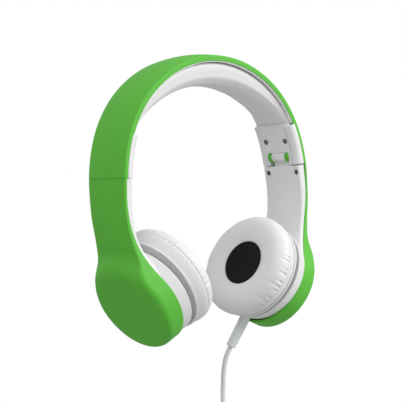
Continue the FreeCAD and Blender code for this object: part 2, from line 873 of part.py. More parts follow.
def make_driver_magnet(side):
    low = baffle_height - driver_frame_t - magnet_t
    return tilted(Part.makeCylinder(magnet_r, magnet_t, Vec(0, 0, low)), side)


def make_diaphragm(side):
    low = baffle_height - diaphragm_drop - diaphragm_t
    return tilted(Part.makeCylinder(driver_r - driver_wall, diaphragm_t, Vec(0, 0, low)), side)


def make_ear_pad(side):
    """The stuffed ring: a soft crown with its crest inside the seam, and a skirt stretched over the speaker."""
    seat = baffle_height + baffle_t
    skirt_r = speaker_r + skirt_gap
    foot = flange_height + skirt_gap
    crown = Part.BSplineCurve()
    crown.interpolate([Vec(seam_r, 0, seam_height), Vec(pad_r, 0, pad_mid_height),
                       Vec(pad_shoulder_r, 0, pad_shoulder_height), Vec(crest_r, 0, crest_height),
                       Vec(pad_hole_r, 0, pad_hole_height)])
    corners = [(pad_hole_r, pad_hole_height), (pad_hole_r, seat), (skirt_r, seat), (skirt_r, foot),
               (flange_r, foot), (seam_r, seam_height)]
    points = [Vec(x, 0, z) for x, z in corners]
    edges = [Part.LineSegment(a, b).toShape() for a, b in zip(points, points[1:])]
    section = Part.Face(Part.Wire(Part.__sortEdges__(edges + [crown.toShape()])))
    return tilted(section.revolve(Vec(0, 0, 0), Vec(0, 0, 1), 360), side)


def make_pad_cover(side):
    low = pad_hole_height - cover_sink - cover_t
    return tilted(Part.makeCylinder(pad_hole_r, cover_t, Vec(0, 0, low)), side)


# Lead, on the wearer's left only

def make_strain_relief():
    start = rim_at_lead()
    end = start + relief_length
    cone = Part.makeCone(relief_r, relief_end_r, end - start + 2, Vec(0, 0, start - 2))
    cone = along_lead(cone).cut(rim_outline())
    return join([cone, relief_neck()])


def lead_point(distance):
    """A point on the lead's line, at a distance from the cup's axis, and the way it runs."""
    a = math.radians(lead_clock)
    way = cup_up * -math.cos(a) + Vec(0, 1, 0) * math.sin(a)
    return cup_centre + cup_in * lead_height + way * distance, way


def bent_path(points):
    """Straight runs joined by tangent arcs, each as large as its two runs allow; the radii are printed."""
    edges = []
    here = points[0]
    radii = []
    for before, corner, after in zip(points, points[1:], points[2:]):
        u = (before - corner).normalize()
        v = (after - corner).normalize()
        half = u.getAngle(v) / 2
        reach = 0.45 * min((before - corner).Length, (after - corner).Length)
        radius = reach * math.tan(half)
        radii.append(round(radius, 1))
        start, end = corner + u * reach, corner + v * reach
        middle = corner + (u + v).normalize() * (radius / math.sin(half) - radius)
        edges.append(Part.LineSegment(here, start).toShape())
        edges.append(Part.Arc(start, middle, end).toShape())
        here = end
    edges.append(Part.LineSegment(here, points[-1]).toShape())
    print("cord radii", radii, "length", round(sum(e.Length for e in edges), 1))
    return Part.Wire(edges)


def cord_route():
    first, way = lead_point(rim_at_lead() + relief_length)
    return [first, first + way * cord_leaves] + [Vec(*p) for p in cord_points]


def make_cord():
    points = cord_route()
    path = bent_path(points)
    section = Part.Wire([Part.makeCircle(cord_r, points[0], points[1] - points[0])])
    tube = path.makePipeShell([section], True, True)
    print("cord volume", round(tube.Volume, 1), "of", round(path.Length * math.pi * cord_r ** 2, 1))
    return tube.cut(make_cord_hank())


def hank_top():
    """Centre of the upper bend of the hank; the cord runs down into its side."""
    end = Vec(*cord_points[-1])
    rise = math.sqrt(hank_bend_r ** 2 - hank_lead_offset ** 2)
    return Vec(end.x - hank_lead_offset, end.y, end.z + cord_entry - hank_bend_r - rise)


def make_cord_hank():
    top = hank_top()
    side = hank_bend_r
    middle = -hank_run / 2
    upper, lower = middle + waist_half_height, middle - waist_half_height
    outline = [
        (-side, side, side), (side, side, side), (side, upper + waist_flare, side),
        (waist_half_width, upper, waist_flare / 2), (waist_half_width, lower, waist_flare / 2),
        (side, lower - waist_flare, side), (side, -hank_run - side, side), (-side, -hank_run - side, side),
        (-side, lower - waist_flare, side), (-waist_half_width, lower, waist_flare / 2),
        (-waist_half_width, upper, waist_flare / 2), (-side, upper + waist_flare, side)]
    hank = Part.Face(rounded_wire(outline, "xz")).extrude(Vec(0, hank_t, 0))
    hank.translate(Vec(0, -hank_t / 2, 0))
    hank = hank.makeFillet(hank_edge_r, [e for e in hank.Edges if abs(abs(e.CenterOfMass.y) - hank_t / 2) < 1e-6])
    hank.translate(top)
    return hank


def make_hank_tie():
    top = hank_top()
    half = waist_half_width + tie_t
    depth = hank_t / 2 + tie_t
    band = block(-half, half, -depth, depth, -tie_half_height, tie_half_height)
    band = band.makeFillet(hank_edge_r + tie_t / 2, [e for e in band.Edges if abs(e.tangentAt(0).z) > 0.9])
    band.translate(Vec(top.x, top.y, top.z - hank_run / 2))
    return band.cut(make_cord_hank())


def tail_top():
    """Where the cord's last turn leaves the hank, straight down to the plug."""
    top = hank_top()
    return Vec(top.x - hank_lead_offset, top.y, top.z - hank_run)


def handle_top():
    drop = math.sqrt(hank_bend_r ** 2 - hank_lead_offset ** 2)
    return tail_top() - Vec(0, 0, drop + tail_length)


def make_cord_tail():
    start = tail_top()
    length = start.z - handle_top().z
    return Part.makeCylinder(cord_r, length, start, Vec(0, 0, -1)).cut(make_cord_hank())


def make_plug_handle():
    edge = plug_collar_t
    handle = turned([(0, 0), (handle_neck_r, 0, edge / 2), (handle_r, -handle_neck_length, handle_neck_length / 2),
                     (handle_r, -handle_length, edge), (0, -handle_length)])
    handle.translate(handle_top())
    return handle


def make_plug_contacts():
    """A 3.5 mm plug: collar, plain barrel, groove and rounded tip."""
    groove = plug_barrel + plug_r - plug_groove_r
    swell = (groove + plug_length) / 2
    contacts = turned([(0, 0), (plug_collar_r, 0), (plug_collar_r, -plug_collar_t), (plug_r, -plug_collar_t),
                       (plug_r, -plug_barrel), (plug_groove_r, -groove), (plug_tip_r, -swell, plug_r / 3),
                       (plug_groove_r / 2, -plug_length, plug_groove_r / 4), (0, -plug_length)])
    contacts.translate(handle_top() - Vec(0, 0, handle_length))
    return contacts


# Nodes: those of the band, those that both sides have, and those of the lead

band_nodes = {
    "headband_shell": make_band_shell,
    "spring_band": make_spring_band,
    "band_rivets": make_band_rivets,
    "cushion_carrier": make_cushion_carrier,
    "headband_cushion": make_headband_cushion,
}
side_nodes = {
    "slider_block": make_slider_block,
    "slider_back_plate": make_slider_back_plate,
    "slider_screws": make_slider_screws,
    "hinge_pin": make_hinge_pin,
    "hinge_knuckle": make_hinge_knuckle,
    "arm_screws": make_arm_screws,
    "arm_outer_shell": make_arm_outer_shell,
}
leaning_nodes = {
    "arm_inner_shell": make_arm_inner_shell,
    "swivel_ring": make_swivel_ring,
    "ring_pins": make_ring_pins,
    "swivel_pin": make_swivel_pin,
    "speaker_housing": make_speaker_housing,
    "baffle": make_baffle,
    "driver_frame": make_driver_frame,
    "driver_magnet": make_driver_magnet,
    "diaphragm": make_diaphragm,
    "ear_pad": make_ear_pad,
    "pad_cover": make_pad_cover,
}
lead_nodes = {
    "strain_relief": make_strain_relief,
    "cord": make_cord,
    "cord_hank": make_cord_hank,
    "hank_tie": make_hank_tie,
    "cord_tail": make_cord_tail,
    "plug_handle": make_plug_handle,
    "plug_contacts": make_plug_contacts,
}


def make_all():
    shapes = {name: make() for name, make in {**band_nodes, **lead_nodes}.items()}
    for name, make in side_nodes.items():
        left = make()
        shapes["left_" + name] = left
        shapes["right_" + name] = left.mirror(Vec(0, 0, 0), Vec(1, 0, 0))
    for name, make in leaning_nodes.items():
        shapes["left_" + name] = make("left")
        shapes["right_" + name] = make("right").mirror(Vec(0, 0, 0), Vec(1, 0, 0))
    return shapes


os.makedirs("parts", exist_ok=True)
for name, shape in make_all().items():
    shape.translate(Vec(0, 0, lift))
    shape.exportStep("parts/" + name + ".step")
    print(name, shape.isValid(), len(shape.Solids), round(shape.Volume, 1))
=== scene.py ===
# Child's folding on-ear headphones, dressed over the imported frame; all lengths are in metres unless a name says mm
import json
import math
import bmesh
import bpy
import numpy as np
from mathutils import Matrix, Vector


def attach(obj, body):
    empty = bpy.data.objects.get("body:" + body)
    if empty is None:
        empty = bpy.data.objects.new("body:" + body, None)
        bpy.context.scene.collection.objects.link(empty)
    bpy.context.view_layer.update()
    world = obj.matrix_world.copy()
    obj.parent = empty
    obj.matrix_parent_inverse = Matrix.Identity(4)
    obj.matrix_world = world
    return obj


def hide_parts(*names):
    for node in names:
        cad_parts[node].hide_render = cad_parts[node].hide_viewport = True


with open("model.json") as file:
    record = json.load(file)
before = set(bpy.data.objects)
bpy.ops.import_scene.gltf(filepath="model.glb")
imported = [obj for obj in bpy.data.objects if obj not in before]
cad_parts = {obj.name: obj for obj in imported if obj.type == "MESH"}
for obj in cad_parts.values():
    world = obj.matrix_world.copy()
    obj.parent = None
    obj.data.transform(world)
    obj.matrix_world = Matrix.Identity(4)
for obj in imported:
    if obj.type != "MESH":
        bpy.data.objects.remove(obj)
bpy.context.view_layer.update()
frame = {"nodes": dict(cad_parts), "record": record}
mounts = {mount["name"]: mount for mount in frame["record"]["mounts"]}
mm = 0.001
print("frame loaded with", len(frame["nodes"]), "nodes")


# camera at the photograph's place, its up direction leaning with the picture
view = {
    "place": (-0.72816, -0.74685, -0.02785),
    "aim": (0.00140, 0.00363, -0.06852),
    "up": (0.0159, -0.0743, 0.9971),
    "lensMm": 158.5,
}


def makeCamera():
    # back points from the aim to the place, right is up cross back, and up is made square to both
    camera = bpy.data.objects.new("camera", bpy.data.cameras.new("camera"))
    bpy.context.scene.collection.objects.link(camera)
    camera.data.lens = view["lensMm"]
    camera.data.sensor_width = 36
    back = (Vector(view["place"]) - Vector(view["aim"])).normalized()
    right = Vector(view["up"]).cross(back).normalized()
    turn = Matrix((right, back.cross(right), back)).transposed()
    camera.matrix_world = Matrix.Translation(view["place"]) @ turn.to_4x4()
    bpy.context.scene.camera = camera


makeCamera()
print("camera set")


# the lead: 3 mm soft PVC cord of 1.15 m, most of it put away as a hank under the cup
lead = {
    "radius": 1.5 * mm,
    "length": 1.15,
    "leaves": (0.02566, 0.0108, -0.15842),
    "drop": [(0.0227, 0.0122, -0.1636), (0.0209, 0.0132, -0.1715), (0.0200, 0.0139, -0.1830),
             (0.0186, 0.0136, -0.1940)],
    "hankMiddle": (0.0057, 0.0136, -0.24279),
    "hankRun": 0.060,
    "waistGap": 3 * mm,
    "waistOuter": 5.6 * mm,
    "outerBend": 13.6 * mm,
    "bendPoints": 5,
    "bendOver": 0.6,
    "tailEnd": (-0.0048, 0.0136, -0.29227),
}
# each turn lies in one slot: how far in it is, and how far from the hank's middle plane
slots = [(0, -1), (1, -1), (1, 0), (1, 1), (0, 1), (0, 0)]


def turnOfHank(slot):
    # one turn's control points from the lower left: bend, up the right column, bend, down the left column;
    # a bend is rather more than half a circle, its points at R / cos(half their spacing), then it eases to the waist
    inward, layer = slot
    bend = lead["outerBend"] - inward * 2 * lead["radius"]
    waist = lead["waistOuter"] - inward * lead["waistGap"]
    half = lead["hankRun"] / 2
    spacing = (math.pi + 2 * lead["bendOver"]) / lead["bendPoints"]
    angles = math.pi - lead["bendOver"] + spacing * (np.arange(lead["bendPoints"]) + 0.5)
    reach = bend / math.cos(spacing / 2)
    low = np.stack([reach * np.cos(angles), reach * np.sin(angles) - half], axis=1)
    column = np.array([[waist + 0.4 * (bend - waist), -0.5 * half], [waist, -0.17 * half],
                       [waist, 0.17 * half], [waist + 0.4 * (bend - waist), 0.5 * half]])
    turn = np.vstack([low, column, -low, -column])
    return np.column_stack([turn[:, 0], np.full(len(turn), layer * 2 * lead["radius"]), turn[:, 1]])


def leadPoints():
    # turn k stays in its slot until its own change station, then takes the next slot,
    # and the stations run backwards from turn to turn, so a slot is always empty before it is taken
    turns = np.array([turnOfHank(slot) for slot in slots])
    size, count = turns.shape[1], len(slots) - 1
    wound = []
    for number in range(count):
        station = size - 2 - round((size - 4) * number / (count - 1))
        wound += [turns[number][:station], turns[number + 1][station:]]
    wound = np.vstack(wound + [turns[count][:1]]) + lead["hankMiddle"]
    crossing = np.array([[12.4, -6.0, 41.0], [10.6, -6.8, 30.0], [6.2, -6.8, 15.0], [0.0, -6.8, 1.0],
                         [-6.8, -6.6, -11.5], [-12.8, -5.2, -18.5]]) * mm + lead["hankMiddle"]
    end = np.array([[-2.4, 0.0, 13.5], [-0.2, 0.0, 6.5], [0.0, 0.0, 0.0]]) * mm + lead["tailEnd"]
    return np.vstack([[lead["leaves"]], lead["drop"], crossing, wound, end])


def makeLead():
    points = leadPoints()
    curve = bpy.data.curves.new("leadCord", "CURVE")
    curve.dimensions = "3D"
    spline = curve.splines.new("NURBS")
    spline.points.add(len(points) - 1)
    spline.points.foreach_set("co", np.column_stack([points, np.ones(len(points))]).ravel())
    spline.order_u = 3
    spline.use_endpoint_u = True
    spline.resolution_u = 8
    curve.bevel_depth = lead["radius"]
    curve.bevel_resolution = 5
    curve.use_fill_caps = True
    cord = bpy.data.objects.new("leadCord", curve)
    bpy.context.scene.collection.objects.link(cord)
    return cord


leadCord = makeLead()
print("lead laid with", len(leadCord.data.splines[0].points), "points")


def linear(hexColour):
    # sRGB to linear, as the shader wants it
    value = np.array([int(hexColour[i:i + 2], 16) for i in (1, 3, 5)]) / 255
    value = np.where(value <= 0.04045, value / 12.92, ((value + 0.055) / 1.055) ** 2.4)
    return (*value.tolist(), 1.0)


def addNode(tree, kind, sockets=None, **settings):
    # one node with its settings; a socket takes a value, or another node's output to be linked
    node = tree.nodes.new(kind)
    for name, value in settings.items():
        setattr(node, name, value)
    for key, value in (sockets or {}).items():
        if isinstance(value, bpy.types.NodeSocket):
            tree.links.new(value, node.inputs[key])
        else:
            node.inputs[key].default_value = value
    return node


def startMaterial(name):
    material = bpy.data.materials.new(name)
    material.use_nodes = True
    material.node_tree.nodes.clear()
    return material, material.node_tree


def endMaterial(tree, sockets):
    shader = addNode(tree, "ShaderNodeBsdfPrincipled", sockets)
    addNode(tree, "ShaderNodeOutputMaterial", {"Surface": shader.outputs[0]})


# soft-touch painted ABS: a matt rubbery coat over a moulded shell, its colour even, its highlights wide and low
green = {"base": "#5EC03B", "worn": "#59B936", "roughness": 0.55, "grainMm": 0.35, "driftMm": 26}


def softTouchGreenAbs():
    material, tree = startMaterial("softTouchGreenAbs")
    place = addNode(tree, "ShaderNodeTexCoord").outputs["Object"]
    drift = addNode(tree, "ShaderNodeTexNoise", {"Vector": place, "Scale": 1 / (green["driftMm"] * mm),
                                                 "Detail": 2.0})
    grain = addNode(tree, "ShaderNodeTexNoise", {"Vector": place, "Scale": 1 / (green["grainMm"] * mm),
                                                 "Detail": 3.0})
    colour = addNode(tree, "ShaderNodeMix", {"Factor": drift.outputs["Fac"], "A": linear(green["worn"]),
                                             "B": linear(green["base"])}, data_type="RGBA")
    rough = addNode(tree, "ShaderNodeMapRange", {"Value": grain.outputs["Fac"], "To Min": green["roughness"] - 0.06,
                                                 "To Max": green["roughness"] + 0.06})
    bump = addNode(tree, "ShaderNodeBump", {"Height": grain.outputs["Fac"], "Strength": 0.12, "Distance": 0.02 * mm})
    endMaterial(tree, {"Base Color": colour.outputs["Result"], "Roughness": rough.outputs[0],
                       "Normal": bump.outputs[0], "IOR": 1.4})
    return material


# moulded ABS with a fine spark-eroded finish: satin white, faint pebble, a little grey in the grain
white = {"base": "#ECECEC", "shade": "#E8E8E9", "roughness": 0.42, "grainMm": 0.5, "driftMm": 25}


def satinWhiteAbs():
    material, tree = startMaterial("satinWhiteAbs")
    place = addNode(tree, "ShaderNodeTexCoord").outputs["Object"]
    grain = addNode(tree, "ShaderNodeTexNoise", {"Vector": place, "Scale": 1 / (white["grainMm"] * mm),
                                                 "Detail": 4.0})
    drift = addNode(tree, "ShaderNodeTexNoise", {"Vector": place, "Scale": 1 / (white["driftMm"] * mm),
                                                 "Detail": 2.0})
    colour = addNode(tree, "ShaderNodeMix", {"Factor": drift.outputs["Fac"], "A": linear(white["shade"]),
                                             "B": linear(white["base"])}, data_type="RGBA")
    rough = addNode(tree, "ShaderNodeMapRange", {"Value": grain.outputs["Fac"], "To Min": white["roughness"] - 0.05,
                                                 "To Max": white["roughness"] + 0.08})
    bump = addNode(tree, "ShaderNodeBump", {"Height": grain.outputs["Fac"], "Strength": 0.15, "Distance": 0.02 * mm})
    endMaterial(tree, {"Base Color": colour.outputs["Result"], "Roughness": rough.outputs[0],
                       "Normal": bump.outputs[0], "IOR": 1.53})
    return material


# embossed polyurethane leatherette on foam: soft white with a faint fine pebble, its cells about 0.6 mm wide; the
# grooves between cells carry painted shade, a little darker
hide = {"base": "#EDEDEC", "crease": "#E3E3E2", "roughness": 0.5, "cellMm": 0.6, "foldMm": 7.0, "warpMm": 2,
        "shiftMm": 0.4}


def whiteLeatherette():
    material, tree = startMaterial("whiteLeatherette")
    place = addNode(tree, "ShaderNodeTexCoord").outputs["Object"]
    warp = addNode(tree, "ShaderNodeTexNoise", {"Vector": place, "Scale": 1 / (hide["warpMm"] * mm), "Detail": 2.0})
    shifted = addNode(tree, "ShaderNodeVectorMath", {0: warp.outputs["Color"], 1: (hide["shiftMm"] * mm,) * 3},
                      operation="MULTIPLY")
    moved = addNode(tree, "ShaderNodeVectorMath", {0: place, 1: shifted.outputs[0]}, operation="ADD")
    cells = addNode(tree, "ShaderNodeTexVoronoi", {"Vector": moved.outputs[0], "Scale": 1 / (hide["cellMm"] * mm)},
                    feature="DISTANCE_TO_EDGE")
    pebble = addNode(tree, "ShaderNodeMapRange", {"Value": cells.outputs["Distance"], "From Max": 0.2},
                     interpolation_type="SMOOTHSTEP")
    folds = addNode(tree, "ShaderNodeTexNoise", {"Vector": place, "Scale": 1 / (hide["foldMm"] * mm), "Detail": 2.0})
    # painted shade: the colour darkens into the grooves between the pebble's cells, where the bump is lowest
    colour = addNode(tree, "ShaderNodeMix", {"Factor": pebble.outputs[0], "A": linear(hide["crease"]),
                                             "B": linear(hide["base"])}, data_type="RGBA")
    grain = addNode(tree, "ShaderNodeBump", {"Height": pebble.outputs[0], "Strength": 0.12, "Distance": 0.02 * mm})
    bump = addNode(tree, "ShaderNodeBump", {"Height": folds.outputs["Fac"], "Strength": 0.2, "Distance": 0.3 * mm,
                                            "Normal": grain.outputs[0]})
    endMaterial(tree, {"Base Color": colour.outputs["Result"], "Roughness": hide["roughness"],
                       "Normal": bump.outputs[0], "IOR": 1.48, "Sheen Weight": 0.06, "Sheen Roughness": 0.4})
    return material


# plain woven polyester over the speaker: black yarn at about 0.7 mm, drawn a little coarse so that it shows; the
# threads' crowns are painted lighter, a painted highlight
yarn = {"base": "#070707", "paintedCrownHighlight": "#121213", "spacingMm": 0.7}


def blackWovenPolyester():
    material, tree = startMaterial("blackWovenPolyester")
    place = addNode(tree, "ShaderNodeUVMap", uv_map="plane").outputs[0]
    split = addNode(tree, "ShaderNodeSeparateXYZ", {"Vector": place})
    waves = []
    for axis in (0, 1):
        angle = addNode(tree, "ShaderNodeMath", {0: split.outputs[axis], 1: math.pi / yarn["spacingMm"]},
                        operation="MULTIPLY")
        thread = addNode(tree, "ShaderNodeMath", {0: angle.outputs[0]}, operation="SINE")
        crown = addNode(tree, "ShaderNodeMath", {0: thread.outputs[0]}, operation="ABSOLUTE")
        waves.append((thread, crown))
    over = addNode(tree, "ShaderNodeMath", {0: waves[0][0].outputs[0], 1: waves[1][0].outputs[0]},
                   operation="MULTIPLY")
    side = addNode(tree, "ShaderNodeMapRange", {"Value": over.outputs[0], "From Min": -0.35, "From Max": 0.35})
    height = addNode(tree, "ShaderNodeMix", {"Factor": side.outputs[0], "A": waves[0][1].outputs[0],
                                             "B": waves[1][1].outputs[0]}, data_type="FLOAT")
    # painted highlight: the colour lightens on the crowns of the threads and darkens between them, following the
    # weave's height
    colour = addNode(tree, "ShaderNodeMix", {"Factor": height.outputs[0], "A": linear(yarn["base"]),
                                             "B": linear(yarn["paintedCrownHighlight"])}, data_type="RGBA")
    bump = addNode(tree, "ShaderNodeBump", {"Height": height.outputs[0], "Strength": 0.8, "Distance": 0.15 * mm})
    endMaterial(tree, {"Base Color": colour.outputs["Result"], "Roughness": 0.95, "Normal": bump.outputs[0],
                       "IOR": 1.35, "Sheen Weight": 0.03, "Sheen Roughness": 0.5})
    return material


# plain finishes: name, colour, second colour, roughness, metallic, grain width in mm and its depth in mm
plainFinishes = {
    "rolledSpringSteel": ("#C6C8CA", "#B4B6B8", 0.28, 1.0, 0.6, 0.01),
    "blackZincScrewSteel": ("#77787A", "#626365", 0.5, 1.0, 0.4, 0.01),
    "nickelPlatedBrass": ("#D9D6CE", "#C9C6BE", 0.18, 1.0, 0.8, 0.004),
    "blackMouldedNylon": ("#1E1F20", "#262728", 0.5, 0.0, 0.5, 0.02),
    "pvcCordJacket": ("#E6E9EC", "#E0E4E8", 0.36, 0.0, 0.7, 0.02),
    "mouldedTpeRelief": ("#ECEFF1", "#E6EAED", 0.45, 0.0, 0.6, 0.03),
    "sinteredFerrite": ("#3B3B3D", "#474749", 0.6, 0.0, 0.3, 0.03),
    "polymerFilm": ("#C9C8C0", "#BDBCB2", 0.25, 0.0, 1.5, 0.01),
    # painted shade: grey for the speaker housing, a white part, so that its groove reads as shadowed
    "paintedShadeGreyAbs": ("#C6C7C9", "#C2C3C5", 0.45, 0.0, 0.5, 0.02),
    "plasticCoatedTie": ("#2A2A2B", "#343435", 0.45, 0.0, 0.5, 0.02),
}


def plainFinish(name):
    first, second, roughness, metallic, grainMm, depthMm = plainFinishes[name]
    material, tree = startMaterial(name)
    place = addNode(tree, "ShaderNodeTexCoord").outputs["Object"]
    grain = addNode(tree, "ShaderNodeTexNoise", {"Vector": place, "Scale": 1 / (grainMm * mm), "Detail": 3.0})
    colour = addNode(tree, "ShaderNodeMix", {"Factor": grain.outputs["Fac"], "A": linear(first), "B": linear(second)},
                     data_type="RGBA")
    rough = addNode(tree, "ShaderNodeMapRange", {"Value": grain.outputs["Fac"], "To Min": roughness - 0.06,
                                                 "To Max": roughness + 0.08})
    bump = addNode(tree, "ShaderNodeBump", {"Height": grain.outputs["Fac"], "Strength": 0.3,
                                            "Distance": depthMm * mm})
    endMaterial(tree, {"Base Color": colour.outputs["Result"], "Roughness": rough.outputs[0],
                       "Normal": bump.outputs[0], "Metallic": metallic})
    return material


finishes = {name: plainFinish(name) for name in plainFinishes}
finishes["softTouchGreenAbs"] = softTouchGreenAbs()
finishes["satinWhiteAbs"] = satinWhiteAbs()
finishes["whiteLeatherette"] = whiteLeatherette()
finishes["blackWovenPolyester"] = blackWovenPolyester()
print("finishes made:", len(finishes))


# which finish each slot of the record gets
slotFinishes = {
    "green_shell": "softTouchGreenAbs", "white_shell": "satinWhiteAbs", "spring_steel": "rolledSpringSteel",
    "screw_steel": "blackZincScrewSteel", "white_leatherette": "whiteLeatherette",
    "black_fabric": "blackWovenPolyester", "dark_plastic": "blackMouldedNylon", "magnet": "sinteredFerrite",
    "film": "polymerFilm", "white_rubber": "mouldedTpeRelief", "tie": "plasticCoatedTie",
    "contact_metal": "nickelPlatedBrass",
}


def addPiece(name, grids, finish, body, uv=None, stands=()):
    # grid[i, j] is a point, and each cell of a grid one four-sided face; edges that meet are merged after
    faces, start = [], 0
    for grid in grids:
        rows, columns = grid.shape[:2]
        index = start + np.arange(rows * columns).reshape(rows, columns)
        corners = [index[:-1, :-1], index[1:, :-1], index[1:, 1:], index[:-1, 1:]]
        faces.append(np.stack(corners, axis=-1).reshape(-1, 4))
        start += rows * columns
    faces = np.vstack(faces)
    points = np.concatenate([grid.reshape(-1, 3) for grid in grids])
    mesh = bpy.data.meshes.new(name)
    mesh.vertices.add(len(points))
    mesh.vertices.foreach_set("co", points.astype(np.float32).ravel())
    mesh.loops.add(faces.size)
    mesh.loops.foreach_set("vertex_index", faces.astype(np.int32).ravel())
    mesh.polygons.add(len(faces))
    mesh.polygons.foreach_set("loop_start", np.arange(0, faces.size, 4, dtype=np.int32))
    mesh.update(calc_edges=True)
    if uv is not None:
        layer = mesh.uv_layers.new(name="plane")
        layer.data.foreach_set("uv", uv.reshape(-1, 2)[faces.ravel()].astype(np.float32).ravel())
    shell = bmesh.new()
    shell.from_mesh(mesh)
    bmesh.ops.remove_doubles(shell, verts=shell.verts, dist=1e-6)
    bmesh.ops.recalc_face_normals(shell, faces=shell.faces)
    shell.to_mesh(mesh)
    shell.free()
    mesh.shade_smooth()
    mesh.materials.append(finishes[finish])
    piece = bpy.data.objects.new(name, mesh)
    bpy.context.scene.collection.objects.link(piece)
    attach(piece, body)
    if stands:
        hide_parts(*stands)
    return piece


def roundOff(points, times):
    # corner cutting: every leg gives way to its points at one quarter and three quarters, ends kept
    line = np.array(points, float)
    for step in range(times):
        inner = np.stack([0.75 * line[:-1] + 0.25 * line[1:], 0.25 * line[:-1] + 0.75 * line[1:]], axis=1)
        line = np.vstack([line[:1], inner.reshape(-1, line.shape[1]), line[-1:]])
    return line


def evenly(line, count):
    # the same line with evenly spaced points, and how far along it each one is
    run = np.concatenate([[0], np.cumsum(np.linalg.norm(np.diff(line, axis=0), axis=1))])
    along = np.linspace(0, run[-1], count)
    return along, np.stack([np.interp(along, run, line[:, 0]), np.interp(along, run, line[:, 1])], axis=1)


# cloth settings that suit a skin of 1 mm cells over firm foam
cloth = {"frames": 20, "quality": 6, "mass": 0.1, "stiffness": 15.0, "bending": 0.01, "pressure": 1500.0}


def settle(grid, held, spare, excess, mostMm):
    # cloth simulation of a grid whose columns close round: held rows and points stay, air pressure fills the rest,
    # and a share of extra cloth, full where spare is 1, gathers; the answer is each point's move, capped
    rows, columns = grid.shape[:2]
    index = np.arange(rows * columns).reshape(rows, columns)
    following = np.roll(index, -1, axis=1)
    faces = np.stack([index[:-1], index[1:], following[1:], following[:-1]], axis=-1).reshape(-1, 4)
    mesh = bpy.data.meshes.new("skin")
    mesh.from_pydata(grid.reshape(-1, 3).tolist(), [], faces.tolist())
    skin = bpy.data.objects.new("skin", mesh)
    bpy.context.scene.collection.objects.link(skin)
    skin.vertex_groups.new(name="held").add(index[held].ravel().tolist(), 1.0, "REPLACE")
    loose = skin.vertex_groups.new(name="loose")
    for row in range(rows):
        if spare[row] > 0:
            loose.add(index[row].tolist(), float(spare[row]), "REPLACE")
    modifier = skin.modifiers.new("cloth", "CLOTH")
    settings = modifier.settings
    settings.quality = cloth["quality"]
    settings.mass = cloth["mass"]
    settings.tension_stiffness = settings.compression_stiffness = cloth["stiffness"]
    settings.shear_stiffness = cloth["stiffness"] * 0.3
    settings.bending_stiffness = cloth["bending"]
    settings.vertex_group_mass = "held"
    settings.vertex_group_shrink = "loose"
    settings.shrink_min = 0.0
    settings.shrink_max = -excess
    settings.use_pressure = True
    settings.uniform_pressure_force = cloth["pressure"]
    settings.effector_weights.gravity = 0
    modifier.point_cache.frame_start = 1
    modifier.point_cache.frame_end = cloth["frames"]
    for number in range(1, cloth["frames"] + 1):
        bpy.context.scene.frame_set(number)
    ready = skin.evaluated_get(bpy.context.evaluated_depsgraph_get()).to_mesh()
    settled = np.empty(rows * columns * 3, np.float32)
    ready.vertices.foreach_get("co", settled)
    move = settled.reshape(grid.shape) - grid
    bpy.data.objects.remove(skin)
    bpy.data.meshes.remove(mesh)
    bpy.context.scene.frame_set(1)
    size = np.linalg.norm(move, axis=-1, keepdims=True)
    return move * np.minimum(1, mostMm * mm / np.maximum(size, 1e-9))


def placeOf(mountName, heightMm):
    # the speaker's own axes: along its axis, up in the cup's plane, and sideways;
    # its foot is heightMm behind the mount
    mount = mounts[mountName]
    along = np.array(mount["axis"], float)
    along = along / np.linalg.norm(along)
    up = np.array([0.0, 0.0, 1.0]) - along * along[2]
    up = up / np.linalg.norm(up)
    foot = np.array(mount["pos_m"], float) - along * heightMm * mm
    return foot, along, up, np.cross(along, up)


def turned(profile, angles, place):
    # radius and height, in mm, of every grid point are carried round the axis at its angle
    foot, along, up, across = place
    radius, height = profile[..., 0] * mm, profile[..., 1] * mm
    return (foot + height[..., None] * along + (radius * np.cos(angles))[..., None] * up
            + (radius * np.sin(angles))[..., None] * across)


# ear pad: foam ring under leatherette, gathered into short pleats where the face meets its seam, smooth skirt behind
pad = {
    "heightMm": 26.4,
    "steps": 720,
    "rows": 127,
    "pleats": 50,
    "seedDepth": 0.35,
    "pleatDepth": 0.75,
    "pleatReach": 6.0,
    "pleatWidths": (0.016, 0.027),
    "pleatDepths": (0.35, 1.0),
    "pleatReaches": (0.6, 1.3),
    "excess": 0.03,
    "mostMm": 1.0,
    "seamDepth": 0.3,
    "seamWidth": 0.45,
    "stitches": 72,
    "stitchDepth": 0.15,
    "line": [(13.4, 17.4), (13.4, 17.4), (13.4, 25.6), (13.9, 26.7), (17.0, 27.6), (22.0, 28.3), (26.4, 27.9),
             (29.6, 26.0), (31.3, 23.5), (31.4, 21.5), (31.1, 18.8), (30.2, 15.8), (29.1, 13.5), (28.8, 13.0),
             (28.4, 12.9), (28.0, 12.9), (28.0, 12.9)],
    "seamAt": (31.3, 19.7),
}


